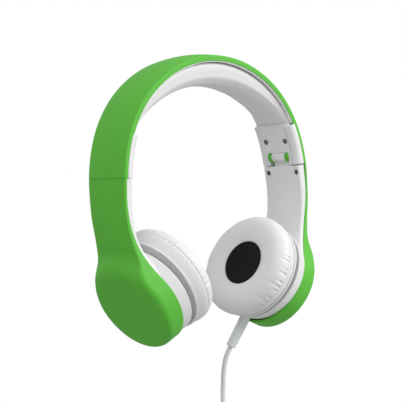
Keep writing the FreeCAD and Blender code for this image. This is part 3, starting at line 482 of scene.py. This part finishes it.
def makePad(side):
    # the profile moves along its own normal by minus the gathers, which are deepest at the seam and fade towards
    # the face, then cloth is settled over a coarse grid of it, and the seam's groove and stitches come last
    chance = np.random.default_rng(11 if side == "left" else 23)
    along, line = evenly(roundOff(pad["line"], 3), pad["rows"])
    slope = np.gradient(line, axis=0)
    normal = np.stack([-slope[:, 1], slope[:, 0]], axis=1)
    normal = normal / np.maximum(np.linalg.norm(normal, axis=1), 1e-9)[:, None]
    seam = along[np.argmin(np.linalg.norm(line - pad["seamAt"], axis=1))]
    ahead = seam - along  # distance towards the face
    angles = np.arange(pad["steps"]) / pad["steps"] * 2 * np.pi
    count = pad["pleats"]
    centres = (np.arange(count) + chance.uniform(-0.3, 0.3, count)) / count * 2 * np.pi
    widths = chance.uniform(*pad["pleatWidths"], count)
    depths = chance.uniform(*pad["pleatDepths"], count)
    reaches = chance.uniform(*pad["pleatReaches"], count) * pad["pleatReach"]
    away = np.angle(np.exp(1j * (angles[:, None] - centres)))
    shape = np.exp(-(np.abs(away) / widths) ** 1.5) * depths
    fade = np.clip(1 - ahead[:, None] / reaches, 0, 1) ** 1.3 * np.clip(1 + ahead / 0.4, 0, 1)[:, None]
    gathers = np.einsum("tk,sk->st", shape, fade)
    place = placeOf(side + "_ear", pad["heightMm"])

    def laidOut(shift):
        return turned(line[:, None, :] + shift[..., None] * normal[:, None, :], angles[None, :], place)

    moves = np.zeros((pad["rows"], pad["steps"], 3))
    coarse = laidOut(-pad["seedDepth"] * gathers)[::2, ::3]
    held = ((ahead < 0.6) | (line[:, 1] < 24.5) & (line[:, 0] < 20))[::2]
    spare = (np.clip(1 - ahead / 9, 0, 1) * (ahead > -0.5))[::2]
    settled = settle(coarse, held, spare, pad["excess"], pad["mostMm"])
    for step in range(2):
        settled = (np.roll(settled, 1, axis=1) + 2 * settled + np.roll(settled, -1, axis=1)) / 4
        settled[1:-1] = (settled[:-2] + 2 * settled[1:-1] + settled[2:]) / 4
    following = np.roll(settled, -1, axis=1)
    for step in range(3):
        moves[::2, step::3] = (settled * (3 - step) + following * step) / 3
    moves[1::2] = (moves[:-1:2] + moves[2::2]) / 2
    stitch = 0.5 + 0.5 * np.cos(angles * pad["stitches"])
    groove = np.exp(-(ahead / pad["seamWidth"]) ** 2)[:, None]
    groove = groove * (pad["seamDepth"] + pad["stitchDepth"] * stitch)[None, :]
    points = laidOut(-(pad["seedDepth"] + pad["pleatDepth"]) * gathers - groove) + moves
    points = np.concatenate([points, points[:, :1]], axis=1)
    piece = addPiece(side + "EarPad", [points], "whiteLeatherette", side + "_speaker",
                     stands=[side + "_ear_pad"])
    return piece


# woven cover in the middle of the pad, a shallow dish that tucks under the pad's lip
cover = {"radiusMm": 14.2, "rimMm": 26.1, "dishMm": 0.7}


def makeCover(side):
    # height = rim minus dish times (1 - (r/R)^2), with the flat plane's own millimetres as its map
    radius = np.linspace(0, cover["radiusMm"], 40)[:, None] + np.zeros((1, 97))
    angles = np.linspace(0, 2 * np.pi, 97)[None, :]
    height = cover["rimMm"] - cover["dishMm"] * (1 - (radius / cover["radiusMm"]) ** 2)
    plane = np.stack([radius * np.cos(angles), radius * np.sin(angles)], axis=-1)
    points = turned(np.stack([radius, height], axis=-1), angles, placeOf(side + "_ear", pad["heightMm"]))
    return addPiece(side + "PadCover", [points], "blackWovenPolyester", side + "_speaker", uv=plane,
                    stands=[side + "_pad_cover"])


for side in ("left", "right"):
    makePad(side)
    makeCover(side)
print("ear pads and covers made")


# the head cushion: a crescent under the crown, seated on the carrier; band arcs as in the shell
band = {
    "limits": (0.0, 37.25, 71.07, 84.84),
    "centres": ((0.0, -63.0), (7.75, -52.81), (-8.144, -58.26)),
    "radii": (79.2, 66.4, 83.2),
}
cushion = {"halfWidthMm": 13.2, "seatMm": 3.3, "innerRadius": 89.5, "innerCentre": -89.5, "endDegrees": 64.95,
           "tipDegrees": 1.1, "edgeDropMm": 0.8, "roundness": 0.66, "excess": 0.006, "mostMm": 0.8}


def bandPlace(degrees, depth):
    # point of the band's crease line at this normal angle, depth mm nearer the head; mirrored for negative angles
    size = np.abs(degrees)
    which = np.clip(np.searchsorted(band["limits"], size, side="right") - 1, 0, 2)
    centre = np.array(band["centres"])[which]
    radius = np.array(band["radii"])[which] - depth
    x = centre[..., 0] + radius * np.sin(np.radians(size))
    z = centre[..., 1] + radius * np.cos(np.radians(size))
    return np.sign(degrees) * x, z


def makeCushion():
    # at each station the section is a superellipse between the seat line and the inner arc,
    # full width above, rounded below, with a blunt end whose edge is rounded
    last = cushion["endDegrees"] - cushion["tipDegrees"] * (1 - np.sin(np.linspace(0, np.pi / 2, 8)))
    stations = np.concatenate([-last[::-1], np.linspace(-last[0], last[0], 150)[1:-1], last])
    size = np.abs(stations)
    which = np.clip(np.searchsorted(band["limits"], size, side="right") - 1, 0, 2)
    centre = np.array(band["centres"])[which]
    radius = np.array(band["radii"])[which]
    ahead = np.stack([np.sin(np.radians(size)), np.cos(np.radians(size))], axis=1)
    offset = centre - [0, cushion["innerCentre"]]
    along = (offset * ahead).sum(1)
    reach = -along + np.sqrt(along ** 2 - (offset ** 2).sum(1) + cushion["innerRadius"] ** 2)
    bottom = radius - reach
    end = np.clip((cushion["endDegrees"] - size) / cushion["tipDegrees"], 0, 1)
    tip = np.sqrt(1 - (1 - end) ** 2)
    angles = np.linspace(0, 2 * np.pi, 97)
    power = np.where(np.sin(angles) > 0, cushion["roundness"], 0.3)
    across = np.sign(np.cos(angles)) * np.abs(np.cos(angles)) ** power
    down = np.sign(np.sin(angles)) * np.abs(np.sin(angles)) ** power
    half = np.maximum(bottom - cushion["seatMm"], 0.4) / 2 * (0.8 + 0.2 * tip)
    depth = cushion["seatMm"] + half[:, None] * (1 + down[None, :])
    y = across[None, :] * cushion["halfWidthMm"] * (0.9 + 0.1 * tip)[:, None]
    dome = cushion["edgeDropMm"] * (y / cushion["halfWidthMm"]) ** 2 * np.clip(down, 0, 1)[None, :] ** 2
    depth = depth - dome * np.minimum(1, half / 5)[:, None]
    x, z = bandPlace(stations[:, None] + np.zeros_like(depth), 0)
    normalX = -np.sign(stations) * ahead[:, 0]
    normalZ = -ahead[:, 1]
    points = np.stack([x + depth * normalX[:, None], y, z + depth * normalZ[:, None]], axis=-1) * mm
    held = np.repeat((down < -0.2)[None, :-1], len(stations), axis=0)
    held[:3] = held[-3:] = True
    moves = settle(points[:, :-1], held, np.ones(len(stations)), cushion["excess"], cushion["mostMm"])
    points = points + np.concatenate([moves, moves[:, :1]], axis=1)
    lowEnd = points[:1].mean(axis=1, keepdims=True) + np.zeros_like(points[:1])
    highEnd = points[-1:].mean(axis=1, keepdims=True) + np.zeros_like(points[:1])
    points = np.concatenate([lowEnd, points, highEnd])
    piece = addPiece("headCushion", [points], "whiteLeatherette", "headband",
                     stands=["headband_cushion"])
    return piece


makeCushion()
print("head cushion made")


# the green shells: one section, a low dome with rounded creases and upright sides, carried down the band and the arms
bandShell = {"halfMm": 15.5, "riseMm": 1.6, "edgeMm": 0.9, "rimMm": 3.0, "wallMm": 1.8, "endDegrees": 84.83}
armSkin = {
    "wallMm": 1.4, "riseMm": 1.7, "armHalfMm": 14.95, "bandHalfMm": 15.5, "cupRadiusMm": 27.2, "neckRadiusMm": 75.0,
    "cupLowMm": 29.3, "armEdgeMm": 0.9, "cupEdgeMm": 3.2, "draftMm": 0.7, "leanOfTop": 0.7046, "topMm": 70.9,
    # distance from the cup's middle, and outwards from its joint plane: the ridge of the skin, then its crease line
    "ridge": [(0.0, 13.5), (12.0, 13.3), (20.0, 13.0), (25.0, 12.4), (28.5, 10.2), (32.0, 6.2),
              (37.0, 3.9), (43.0, 1.7), (50.0, -0.95), (60.0, -6.0), (72.0, -13.8)],
    "crease": [(0.0, 1.9), (10.0, 1.9), (21.99, 2.11), (30.14, 1.68), (38.21, 0.4), (46.09, -1.71), (53.71, -4.64),
               (60.99, -8.34), (70.55, -14.45), (75.0, -17.6)],
    "rimMm": 1.9, "tilt": 0.02, "cup": (52.0, -119.6), "toeIn": 30.0,
}


def smoothLine(points, x):
    # natural cubic through the points: its second slopes solve the usual three-term equations
    points = np.array(points, float)
    step, rise = np.diff(points[:, 0]), np.diff(points[:, 1])
    count = len(points)
    system, right = np.eye(count), np.zeros(count)
    inner = np.arange(1, count - 1)
    system[inner, inner - 1], system[inner, inner + 1] = step[:-1], step[1:]
    system[inner, inner] = 2 * (step[:-1] + step[1:])
    right[inner] = 6 * (rise[1:] / step[1:] - rise[:-1] / step[:-1])
    bend = np.linalg.solve(system, right)
    which = np.clip(np.searchsorted(points[:, 0], x) - 1, 0, count - 2)
    after, before, width = x - points[which, 0], points[which + 1, 0] - x, step[which]
    return ((bend[which] * before ** 3 + bend[which + 1] * after ** 3) / (6 * width)
            + (points[which, 1] / width - bend[which] * width / 6) * before
            + (points[which + 1, 1] / width - bend[which + 1] * width / 6) * after)


def eased(value):
    # soft step from 0 to 1: s^2 (3 - 2 s)
    share = np.clip(value, 0, 1)
    return share * share * (3 - 2 * share)


# for every point of half a section: how far across the dome, round the edge and down the side it is
sectionSteps = np.array([(step / 16, 0, 0) for step in range(17)]
                        + [(1, turn / 8 * math.pi / 2, 0) for turn in range(1, 9)]
                        + [(1, math.pi / 2, down / 5) for down in range(1, 6)]).T
fullSection = np.concatenate([sectionSteps[:, ::-1], sectionSteps[:, 1:]], axis=1)
sectionSide = np.concatenate([np.ones(sectionSteps.shape[1]), -np.ones(sectionSteps.shape[1] - 1)])


def shellSection(steps, half, ridge, rise, edge, draft, base):
    # across: dome, then edge radius, then draft;
    # out: ridge - rise (across / half)^2 - edge (1 - cos), then down to the base
    dome, turn, down = steps
    reach = half - draft - edge
    across = dome * reach + edge * np.sin(turn) + draft * down
    top = ridge - rise * (dome * reach / half) ** 2 - edge * (1 - np.cos(turn))
    return across, top + (base - top) * down


def giveWall(piece, wallMm, bevelMm):
    wall = piece.modifiers.new("wall", "SOLIDIFY")
    wall.thickness = wallMm * mm
    wall.offset = -1.0
    edge = piece.modifiers.new("edge", "BEVEL")
    edge.width = bevelMm * mm
    edge.segments = 2
    edge.limit_method = "ANGLE"
    edge.angle_limit = math.radians(50)


def makeBandShell():
    # the full section stands square to the crease line at every station of the band
    stations = np.linspace(-bandShell["endDegrees"], bandShell["endDegrees"], 201)[:, None]
    across, out = shellSection(fullSection, bandShell["halfMm"], bandShell["riseMm"], bandShell["riseMm"],
                               bandShell["edgeMm"], 0.0, -bandShell["rimMm"])
    x, z = bandPlace(stations + 0 * out, -out + 0 * stations)
    points = np.stack([x, across * sectionSide + 0 * x, z], axis=-1) * mm
    piece = addPiece("bandSkin", [points], "softTouchGreenAbs", "headband", stands=["headband_shell"])
    giveWall(piece, bandShell["wallMm"], 0.1)


def armHalf(up):
    # half the outline: straight down the arm, a hollow arc into the cup's circle, and wider again to meet the band
    arm, cup, neck = armSkin["armHalfMm"], armSkin["cupRadiusMm"], armSkin["neckRadiusMm"]
    reach = math.sqrt((neck + cup) ** 2 - (neck + arm) ** 2)
    hollow = arm + neck - np.sqrt(np.maximum(neck ** 2 - np.maximum(reach - up, 0) ** 2, 0))
    width = np.where(up > reach * cup / (neck + cup), hollow, np.sqrt(np.maximum(cup ** 2 - up ** 2, 0)))
    return width + (armSkin["bandHalfMm"] - arm) * eased((up - 58) / 12)


def armSection(steps, up):
    # the ridge's height goes by the distance from the cup's middle, and higher up the arm only by the place along it
    low = np.clip((up - 8) / 20, 0, 1)
    edge = armSkin["cupEdgeMm"] + (armSkin["armEdgeMm"] - armSkin["cupEdgeMm"]) * low
    half, draft = armHalf(up), armSkin["draftMm"] * (1 - eased(up / 20))
    across = steps[0] * (half - draft - edge) + edge * np.sin(steps[1])
    away = np.sqrt(up ** 2 + (1 - eased((up - 28) / 20)) * across ** 2)
    ridge, rise = smoothLine(armSkin["ridge"], away), armSkin["riseMm"] * eased((up - 20) / 20)
    base = smoothLine(armSkin["crease"], up) - armSkin["rimMm"]
    return shellSection(steps, half, ridge, rise, edge, draft, base)


def makeArmSkin(side):
    # upper part: sections across the arm, leaning at the top so that the first lies in the fold line, each point's
    # place up the cup found by repeated substitution; lower part: half a section turned about the cup's axis
    stations = np.linspace(armSkin["topMm"], 0, 121)[:, None]
    lean = armSkin["leanOfTop"] * eased((stations - 36) / 24)
    crease = smoothLine(armSkin["crease"], stations)
    up = stations + 0 * fullSection[:1]
    for step in range(30):
        across, out = armSection(fullSection, up)
        up = stations + lean * (out - crease)
    upper = np.stack([up, across * sectionSide, out], axis=-1)
    across, out = armSection(sectionSteps, np.zeros((1, sectionSteps.shape[1])))
    turn = np.linspace(0, np.pi, 73)[:, None]
    below = -across * armSkin["cupLowMm"] / armSkin["cupRadiusMm"] * np.sin(turn)
    lower = np.stack([below, across * np.cos(turn), out + armSkin["tilt"] * below * np.clip(out / 8, 0, 1)], axis=-1)
    mirror = 1 if side == "left" else -1
    lean = math.radians(armSkin["toeIn"])
    grids = []
    for grid in (upper, lower):
        x = armSkin["cup"][0] + grid[..., 0] * math.sin(lean) + grid[..., 2] * math.cos(lean)
        z = armSkin["cup"][1] + grid[..., 0] * math.cos(lean) - grid[..., 2] * math.sin(lean)
        grids.append(np.stack([mirror * x, grid[..., 1], z], axis=-1) * mm)
    piece = addPiece(side + "ArmSkin", grids, "softTouchGreenAbs", side + "_arm",
                     stands=[side + "_arm_outer_shell"])
    giveWall(piece, armSkin["wallMm"], 0.1)


makeBandShell()
makeArmSkin("left")
makeArmSkin("right")
print("green shells made")


# white trim: the slider's cheeks lap over the band's rim, the carrier's lip lies along it,
# and green ears flank the barrel
trim = {
    "cheekDegrees": (65.44, 84.8),
    "cheek": [(10.3, 7.2), (12.6, 7.2), (13.9, 6.9), (15.0, 6.2), (15.55, 5.1), (15.64, 4.0), (15.64, 2.5),
              (15.53, 2.4), (15.53, 3.04), (10.3, 3.04), (10.3, 7.2)],
    "lipDegrees": 64.6,
    "lip": [(13.22, 3.05), (13.22, 3.5), (13.4, 3.65), (14.9, 3.65), (15.1, 3.5), (15.1, 3.03), (13.22, 3.05)],
    "barrel": (68.893, -46.037), "ear": [(0.0, 5.62), (3.2, 5.62), (3.4, 5.8), (3.4, 8.0), (3.2, 8.18), (0.0, 8.18)],
    "roll": [(0.0, -5.5), (2.85, -5.5), (3.1, -5.25), (3.1, 5.25), (2.85, 5.5), (0.0, 5.5)],
    "flange": [(28.4, 11.6), (29.2, 11.5), (29.7, 11.85), (29.8, 12.35), (29.5, 12.75), (28.9, 12.85), (28.4, 12.8),
               (28.4, 11.6)],
}


def alongBand(section, first, last, count, side):
    # a closed section of (across, depth) carried along the band's crease line, its two ends drawn in to close them
    section = np.array(section)
    stations = np.linspace(first, last, count)[:, None]
    x, z = bandPlace(stations, section[None, :, 1])
    points = np.stack([x, side * section[None, :, 0] + 0 * x, z], axis=-1) * mm
    ends = [row.mean(axis=0) + 0 * row for row in (points[0], points[-1])]
    return np.concatenate([ends[:1], points, ends[1:]])


def makeTrim(side):
    # cheeks follow the band; ears and roll are profiles carried round the hinge's line, the lip round the speaker's
    mirror = 1 if side == "left" else -1
    first, last = trim["cheekDegrees"]
    cheeks = [alongBand(trim["cheek"], mirror * first, mirror * last, 40, way) for way in (-1, 1)]
    addPiece(side + "SliderCheeks", cheeks, "satinWhiteAbs", side + "_slider")
    angles = np.linspace(0, 2 * np.pi, 49)[None, :]
    profile = np.array(trim["ear"])[:, None, :] + np.zeros((1, 49, 2))
    foot = np.array([mirror * trim["barrel"][0], 0, trim["barrel"][1]]) * mm
    level, upright = np.array([1.0, 0.0, 0.0]), np.array([0.0, 0.0, 1.0])
    ears = [turned(profile, angles, (foot, np.array([0.0, way, 0.0]), level, upright)) for way in (-1, 1)]
    addPiece(side + "HingeEars", ears, "softTouchGreenAbs", side + "_arm")
    profile = np.array(trim["roll"])[:, None, :] + np.zeros((1, 49, 2))
    roll = turned(profile, angles, (foot, np.array([0.0, 1.0, 0.0]), level, upright))
    addPiece(side + "HingeRoll", [roll], "satinWhiteAbs", side + "_arm")
    angles = np.linspace(0, 2 * np.pi, 193)[None, :]
    ring = roundOff(trim["flange"][:-1], 2)
    ring = np.concatenate([ring, ring[:1]])[:, None, :] + np.zeros((1, 193, 2))
    addPiece(side + "SpeakerLip", [turned(ring, angles, placeOf(side + "_ear", pad["heightMm"]))], "satinWhiteAbs",
             side + "_speaker")


makeTrim("left")
makeTrim("right")
addPiece("carrierLip", [alongBand(trim["lip"], -trim["lipDegrees"], trim["lipDegrees"], 161, way) for way in (-1, 1)],
         "satinWhiteAbs", "headband")
print("white trim made")


# black-zinc screws seen from the inside: place of the head's middle, the way it faces, head and whole length
screws = {
    "shankRadiusMm": 0.9, "crossReachMm": 0.95, "crossHalfMm": 0.2, "crossDepthMm": 0.45,
    "slider": {"place": (64.6, 8.0, -36.68), "facing": (-0.9587, 0.0, -0.2844), "headRadiusMm": 1.75, "headMm": 1.6,
               "lengthMm": 6.07},
    "arm": {"place": (69.355, 11.6, -55.982), "facing": (-0.9959, 0.0, -0.0899), "headRadiusMm": 1.5, "headMm": 0.6,
            "lengthMm": 3.56},
}


def makeScrews(side, kind):
    # the head's face is flat less a cross: depth times the larger of two bars, each a product of two soft steps
    facts = screws[kind]
    mirror = 1 if side == "left" else -1
    angles = np.linspace(0, 2 * np.pi, 49)[None, :]
    radius = np.concatenate([np.linspace(0, facts["headRadiusMm"], 22), [facts["headRadiusMm"]],
                             [screws["shankRadiusMm"]] * 2, [0.0]])[:, None] + 0 * angles
    x, y = np.abs(radius * np.cos(angles)), np.abs(radius * np.sin(angles))
    reach, half = screws["crossReachMm"], screws["crossHalfMm"]
    barX = np.clip((reach - x) / 0.15, 0, 1) * np.clip((half - y) / 0.1 + 0.5, 0, 1)
    barY = np.clip((reach - y) / 0.15, 0, 1) * np.clip((half - x) / 0.1 + 0.5, 0, 1)
    height = -screws["crossDepthMm"] * np.maximum(barX, barY) - 0.12 * (radius / facts["headRadiusMm"]) ** 6
    height[22:24] = -facts["headMm"]
    height[24:] = -facts["lengthMm"]
    grids = []
    for way in (-1, 1):
        along = np.array(facts["facing"]) * (mirror, 1, 1)
        foot = np.array(facts["place"]) * (mirror, way, 1) * mm
        lean = math.radians(25 + 40 * way)
        flat = np.cross(along, (0, 1, 0))
        up = flat * math.cos(lean) + np.array([0, 1, 0]) * math.sin(lean)
        grids.append(turned(np.stack([radius, height], axis=-1), angles, (foot, along, up, np.cross(along, up))))
    return addPiece(side + kind.capitalize() + "ScrewHeads", grids, "blackZincScrewSteel", side + "_" + kind,
                    stands=[side + "_" + kind + "_screws"])


for side in ("left", "right"):
    makeScrews(side, "slider")
    makeScrews(side, "arm")
print("screws made")


# the plug hangs under the hank: a ribbed sleeve, a grip with two rings, and nickelled contacts with black rings
plug = {
    "top": (-0.0048, 0.0136, -0.29227),
    "handle": [(1.55, 0.0), (1.95, 0.1), (2.0, 0.6), (2.1, 6.6), (2.9, 8.0), (3.0, 8.6), (3.0, 17.0), (2.75, 17.2),
               (2.75, 17.6), (3.0, 17.8), (3.0, 18.8), (2.75, 19.0), (2.75, 19.4), (3.0, 19.6), (3.0, 22.4),
               (2.7, 22.95), (1.0, 23.0), (0.0, 23.0)],
    "ribs": 5, "ribDepthMm": 0.3,
    "contacts": [(0.0, 23.0), (2.6, 23.0), (2.6, 23.7), (2.45, 23.8), (1.75, 23.8), (1.75, 33.0), (1.45, 33.6),
                 (1.2, 34.0), (1.3, 34.4), (1.7, 34.9), (1.72, 35.2), (1.1, 36.4), (0.5, 36.9), (0.0, 37.0)],
    "rings": [(28.6, 29.2), (31.6, 32.2)],
}


def hung(profile):
    # the profile's heights are millimetres below the plug's top, and it is carried round the upright line there
    angles = np.linspace(0, 2 * np.pi, 49)[None, :]
    grid = np.array(profile, float)[:, None, :] + np.zeros((1, 49, 2))
    place = (np.array(plug["top"]), np.array([0.0, 0.0, -1.0]), np.array([1.0, 0.0, 0.0]), np.array([0.0, 1.0, 0.0]))
    return turned(grid, angles, place)


def makePlug():
    # sleeve radius less its ribs: depth times (1 - |sin|) over the ribbed stretch
    line = evenly(np.array(plug["handle"]), 240)[1]
    ribbed = (line[:, 1] > 0.8) & (line[:, 1] < 6.4)
    wave = 1 - np.abs(np.sin((line[:, 1] - 0.8) / 5.6 * np.pi * plug["ribs"]))
    line[:, 0] -= ribbed * plug["ribDepthMm"] * wave ** 3
    handle = addPiece("plugSleeve", [hung(line)], "mouldedTpeRelief", "left_arm",
                      stands=["plug_handle"])
    line = evenly(np.array(plug["contacts"]), 160)[1]
    contacts = addPiece("plugContacts", [hung(line)], "nickelPlatedBrass", "left_arm",
                        stands=["plug_contacts"])
    rings = [hung([(1.6, low), (1.79, low), (1.79, high), (1.6, high)]) for low, high in plug["rings"]]
    return [handle, contacts, addPiece("plugRings", rings, "blackMouldedNylon", "left_arm")]


# flat wire tie round the hank's waist, its two ends twisted together in front
tie = {"middle": (5.7, 12.1, -242.79), "halfAcrossMm": 8.2, "halfDepthMm": 7.6, "halfWidthMm": 1.9, "thickMm": 0.5,
       "ridgeMm": 0.45, "tailMm": 11.0, "tailTurns": 2.5}


def makeTie():
    # band: a rounded oblong |x/a|^3 + |y/b|^3 = 1 carrying a flat section with a wire's ridge along its middle;
    # tail: the same flat section turning evenly about its own line
    middle = np.array(tie["middle"])
    circle = np.linspace(0, 2 * np.pi, 121)
    out = np.stack([np.sign(np.cos(circle)) * np.abs(np.cos(circle)) ** 0.67,
                    np.sign(np.sin(circle)) * np.abs(np.sin(circle)) ** 0.67], axis=1)
    around = np.linspace(0, 2 * np.pi, 41)
    side = np.cos(around) * tie["halfWidthMm"]
    thick = np.sign(np.sin(around)) * np.abs(np.sin(around)) ** 0.6 * tie["thickMm"] / 2
    thick = thick + np.sign(thick) * tie["ridgeMm"] / 2 * np.exp(-(side / 0.45) ** 2)
    reach = thick[None, :] + tie["thickMm"] / 2
    x = out[:, :1] * (tie["halfAcrossMm"] + reach)
    y = out[:, 1:] * (tie["halfDepthMm"] + reach)
    band = np.stack([x, y, side[None, :] + 0 * x], axis=-1) + middle
    run = np.linspace(0, 1, 61)
    turn = run * tie["tailTurns"] * 2 * np.pi
    shrink = np.clip((1 - run) / 0.03, 0, 1) ** 0.5 * np.clip(run / 0.02, 0, 1) ** 0.5
    width, height = side * 0.75, thick * 1.6
    tailX = (width * np.cos(turn)[:, None] - height * np.sin(turn)[:, None]) * shrink[:, None]
    tailZ = (width * np.sin(turn)[:, None] + height * np.cos(turn)[:, None]) * shrink[:, None]
    away = np.array([0.35, -0.25, -0.9]) / np.linalg.norm([0.35, -0.25, -0.9])
    across = np.cross(away, (0, 1, 0)) / np.linalg.norm(np.cross(away, (0, 1, 0)))
    start = middle + [2.0, -tie["halfDepthMm"] - 0.9, -1.0]
    tail = (start + run[:, None, None] * tie["tailMm"] * away + tailX[..., None] * across
            + tailZ[..., None] * np.cross(across, away))
    return addPiece("wireTie", [band * mm, tail * mm], "plasticCoatedTie", "left_arm", stands=["hank_tie"])


# strain relief, lead, plug and tie ride on the arm with the cup that the lead leaves
onLead = makePlug() + [makeTie()]
leadCord.data.materials.append(finishes["pvcCordJacket"])
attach(leadCord, "left_arm")
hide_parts("cord", "cord_hank", "cord_tail")


# every CAD node that still shows takes its slot's finish
for node in frame["record"]["subparts"]:
    name, slot = node["node"], node["material_slot"]
    shown = frame["nodes"][name]
    shown.data.materials.clear()
    finish = "paintedShadeGreyAbs" if name.endswith("speaker_housing") else slotFinishes[slot]  # painted shade: the white housing takes a grey finish that stands for the shadow in its groove
    shown.data.materials.append(finishes[finish])
print("finishes given to the CAD nodes")


# floor far below the held headphones; it turns to plain white away from the object, for camera rays only
room = {"floorHeight": -0.36, "floorSize": 12.0, "floor": "#F2F2F2", "floorForLight": "#B6B6B6", "ambient": 0.58,
        "lampAim": (0, 0, -0.07)}
lamps = {
    "key": {"place": (1.0, -1.35, 0.75), "size": 1.0, "watts": 22.0},
    "top": {"place": (-0.2, 0.1, 1.3), "size": 1.2, "watts": 2.0},
    "left": {"place": (-1.1, -0.5, 0.8), "size": 0.8, "watts": 3.5},
}


def makeRoom():
    mesh = bpy.data.meshes.new("floor")
    half = room["floorSize"] / 2
    corners = [(-half, -half), (half, -half), (half, half), (-half, half)]
    mesh.from_pydata([(x, y, room["floorHeight"]) for x, y in corners], [], [(0, 1, 2, 3)])
    floor = bpy.data.objects.new("floor", mesh)
    bpy.context.scene.collection.objects.link(floor)
    material, tree = startMaterial("paleFloor")
    place = addNode(tree, "ShaderNodeTexCoord").outputs["Object"]
    flat = addNode(tree, "ShaderNodeVectorMath", {0: place, 1: (1, 1, 0)}, operation="MULTIPLY")
    away = addNode(tree, "ShaderNodeVectorMath", {0: flat.outputs[0]}, operation="LENGTH")
    far = addNode(tree, "ShaderNodeMapRange", {"Value": away.outputs["Value"], "From Min": 0.3, "From Max": 0.8},
                  interpolation_type="SMOOTHSTEP")
    rays = addNode(tree, "ShaderNodeLightPath")
    seen = addNode(tree, "ShaderNodeMath", {0: rays.outputs["Is Camera Ray"], 1: far.outputs[0]},
                   operation="MULTIPLY")
    colour = addNode(tree, "ShaderNodeMix", {"Factor": rays.outputs["Is Camera Ray"],
                                             "A": linear(room["floorForLight"]), "B": linear(room["floor"])},
                     data_type="RGBA")
    pale = addNode(tree, "ShaderNodeBsdfDiffuse", {"Color": colour.outputs["Result"]})
    plain = addNode(tree, "ShaderNodeEmission", {"Color": (1, 1, 1, 1), "Strength": 1.0})
    both = addNode(tree, "ShaderNodeMixShader", {0: seen.outputs[0], 1: pale.outputs[0], 2: plain.outputs[0]})
    addNode(tree, "ShaderNodeOutputMaterial", {"Surface": both.outputs[0]})
    mesh.materials.append(material)


def makeLight():
    world = bpy.data.worlds.new("studio")
    world.use_nodes = True
    tree = world.node_tree
    tree.nodes.clear()
    rays = addNode(tree, "ShaderNodeLightPath")
    seen = addNode(tree, "ShaderNodeMath", {0: rays.outputs["Is Camera Ray"], 1: rays.outputs["Is Transmission Ray"]},
                   operation="MAXIMUM")
    soft = addNode(tree, "ShaderNodeBackground", {"Color": (1, 1, 1, 1), "Strength": room["ambient"]})
    plain = addNode(tree, "ShaderNodeBackground", {"Color": (1, 1, 1, 1), "Strength": 1.0})
    both = addNode(tree, "ShaderNodeMixShader", {0: seen.outputs[0], 1: soft.outputs[0], 2: plain.outputs[0]})
    addNode(tree, "ShaderNodeOutputWorld", {"Surface": both.outputs[0]})
    bpy.context.scene.world = world
    for name, facts in lamps.items():
        data = bpy.data.lights.new(name, "AREA")
        data.shape = "DISK"
        data.size = facts["size"]
        data.energy = facts["watts"]
        lamp = bpy.data.objects.new(name, data)
        lamp.location = facts["place"]
        lamp.rotation_euler = (Vector(facts["place"]) - Vector(room["lampAim"])).to_track_quat("Z", "Y").to_euler()
        bpy.context.scene.collection.objects.link(lamp)


makeRoom()
makeLight()
bpy.context.scene.view_settings.view_transform = "Standard"
print("floor and lamps set")
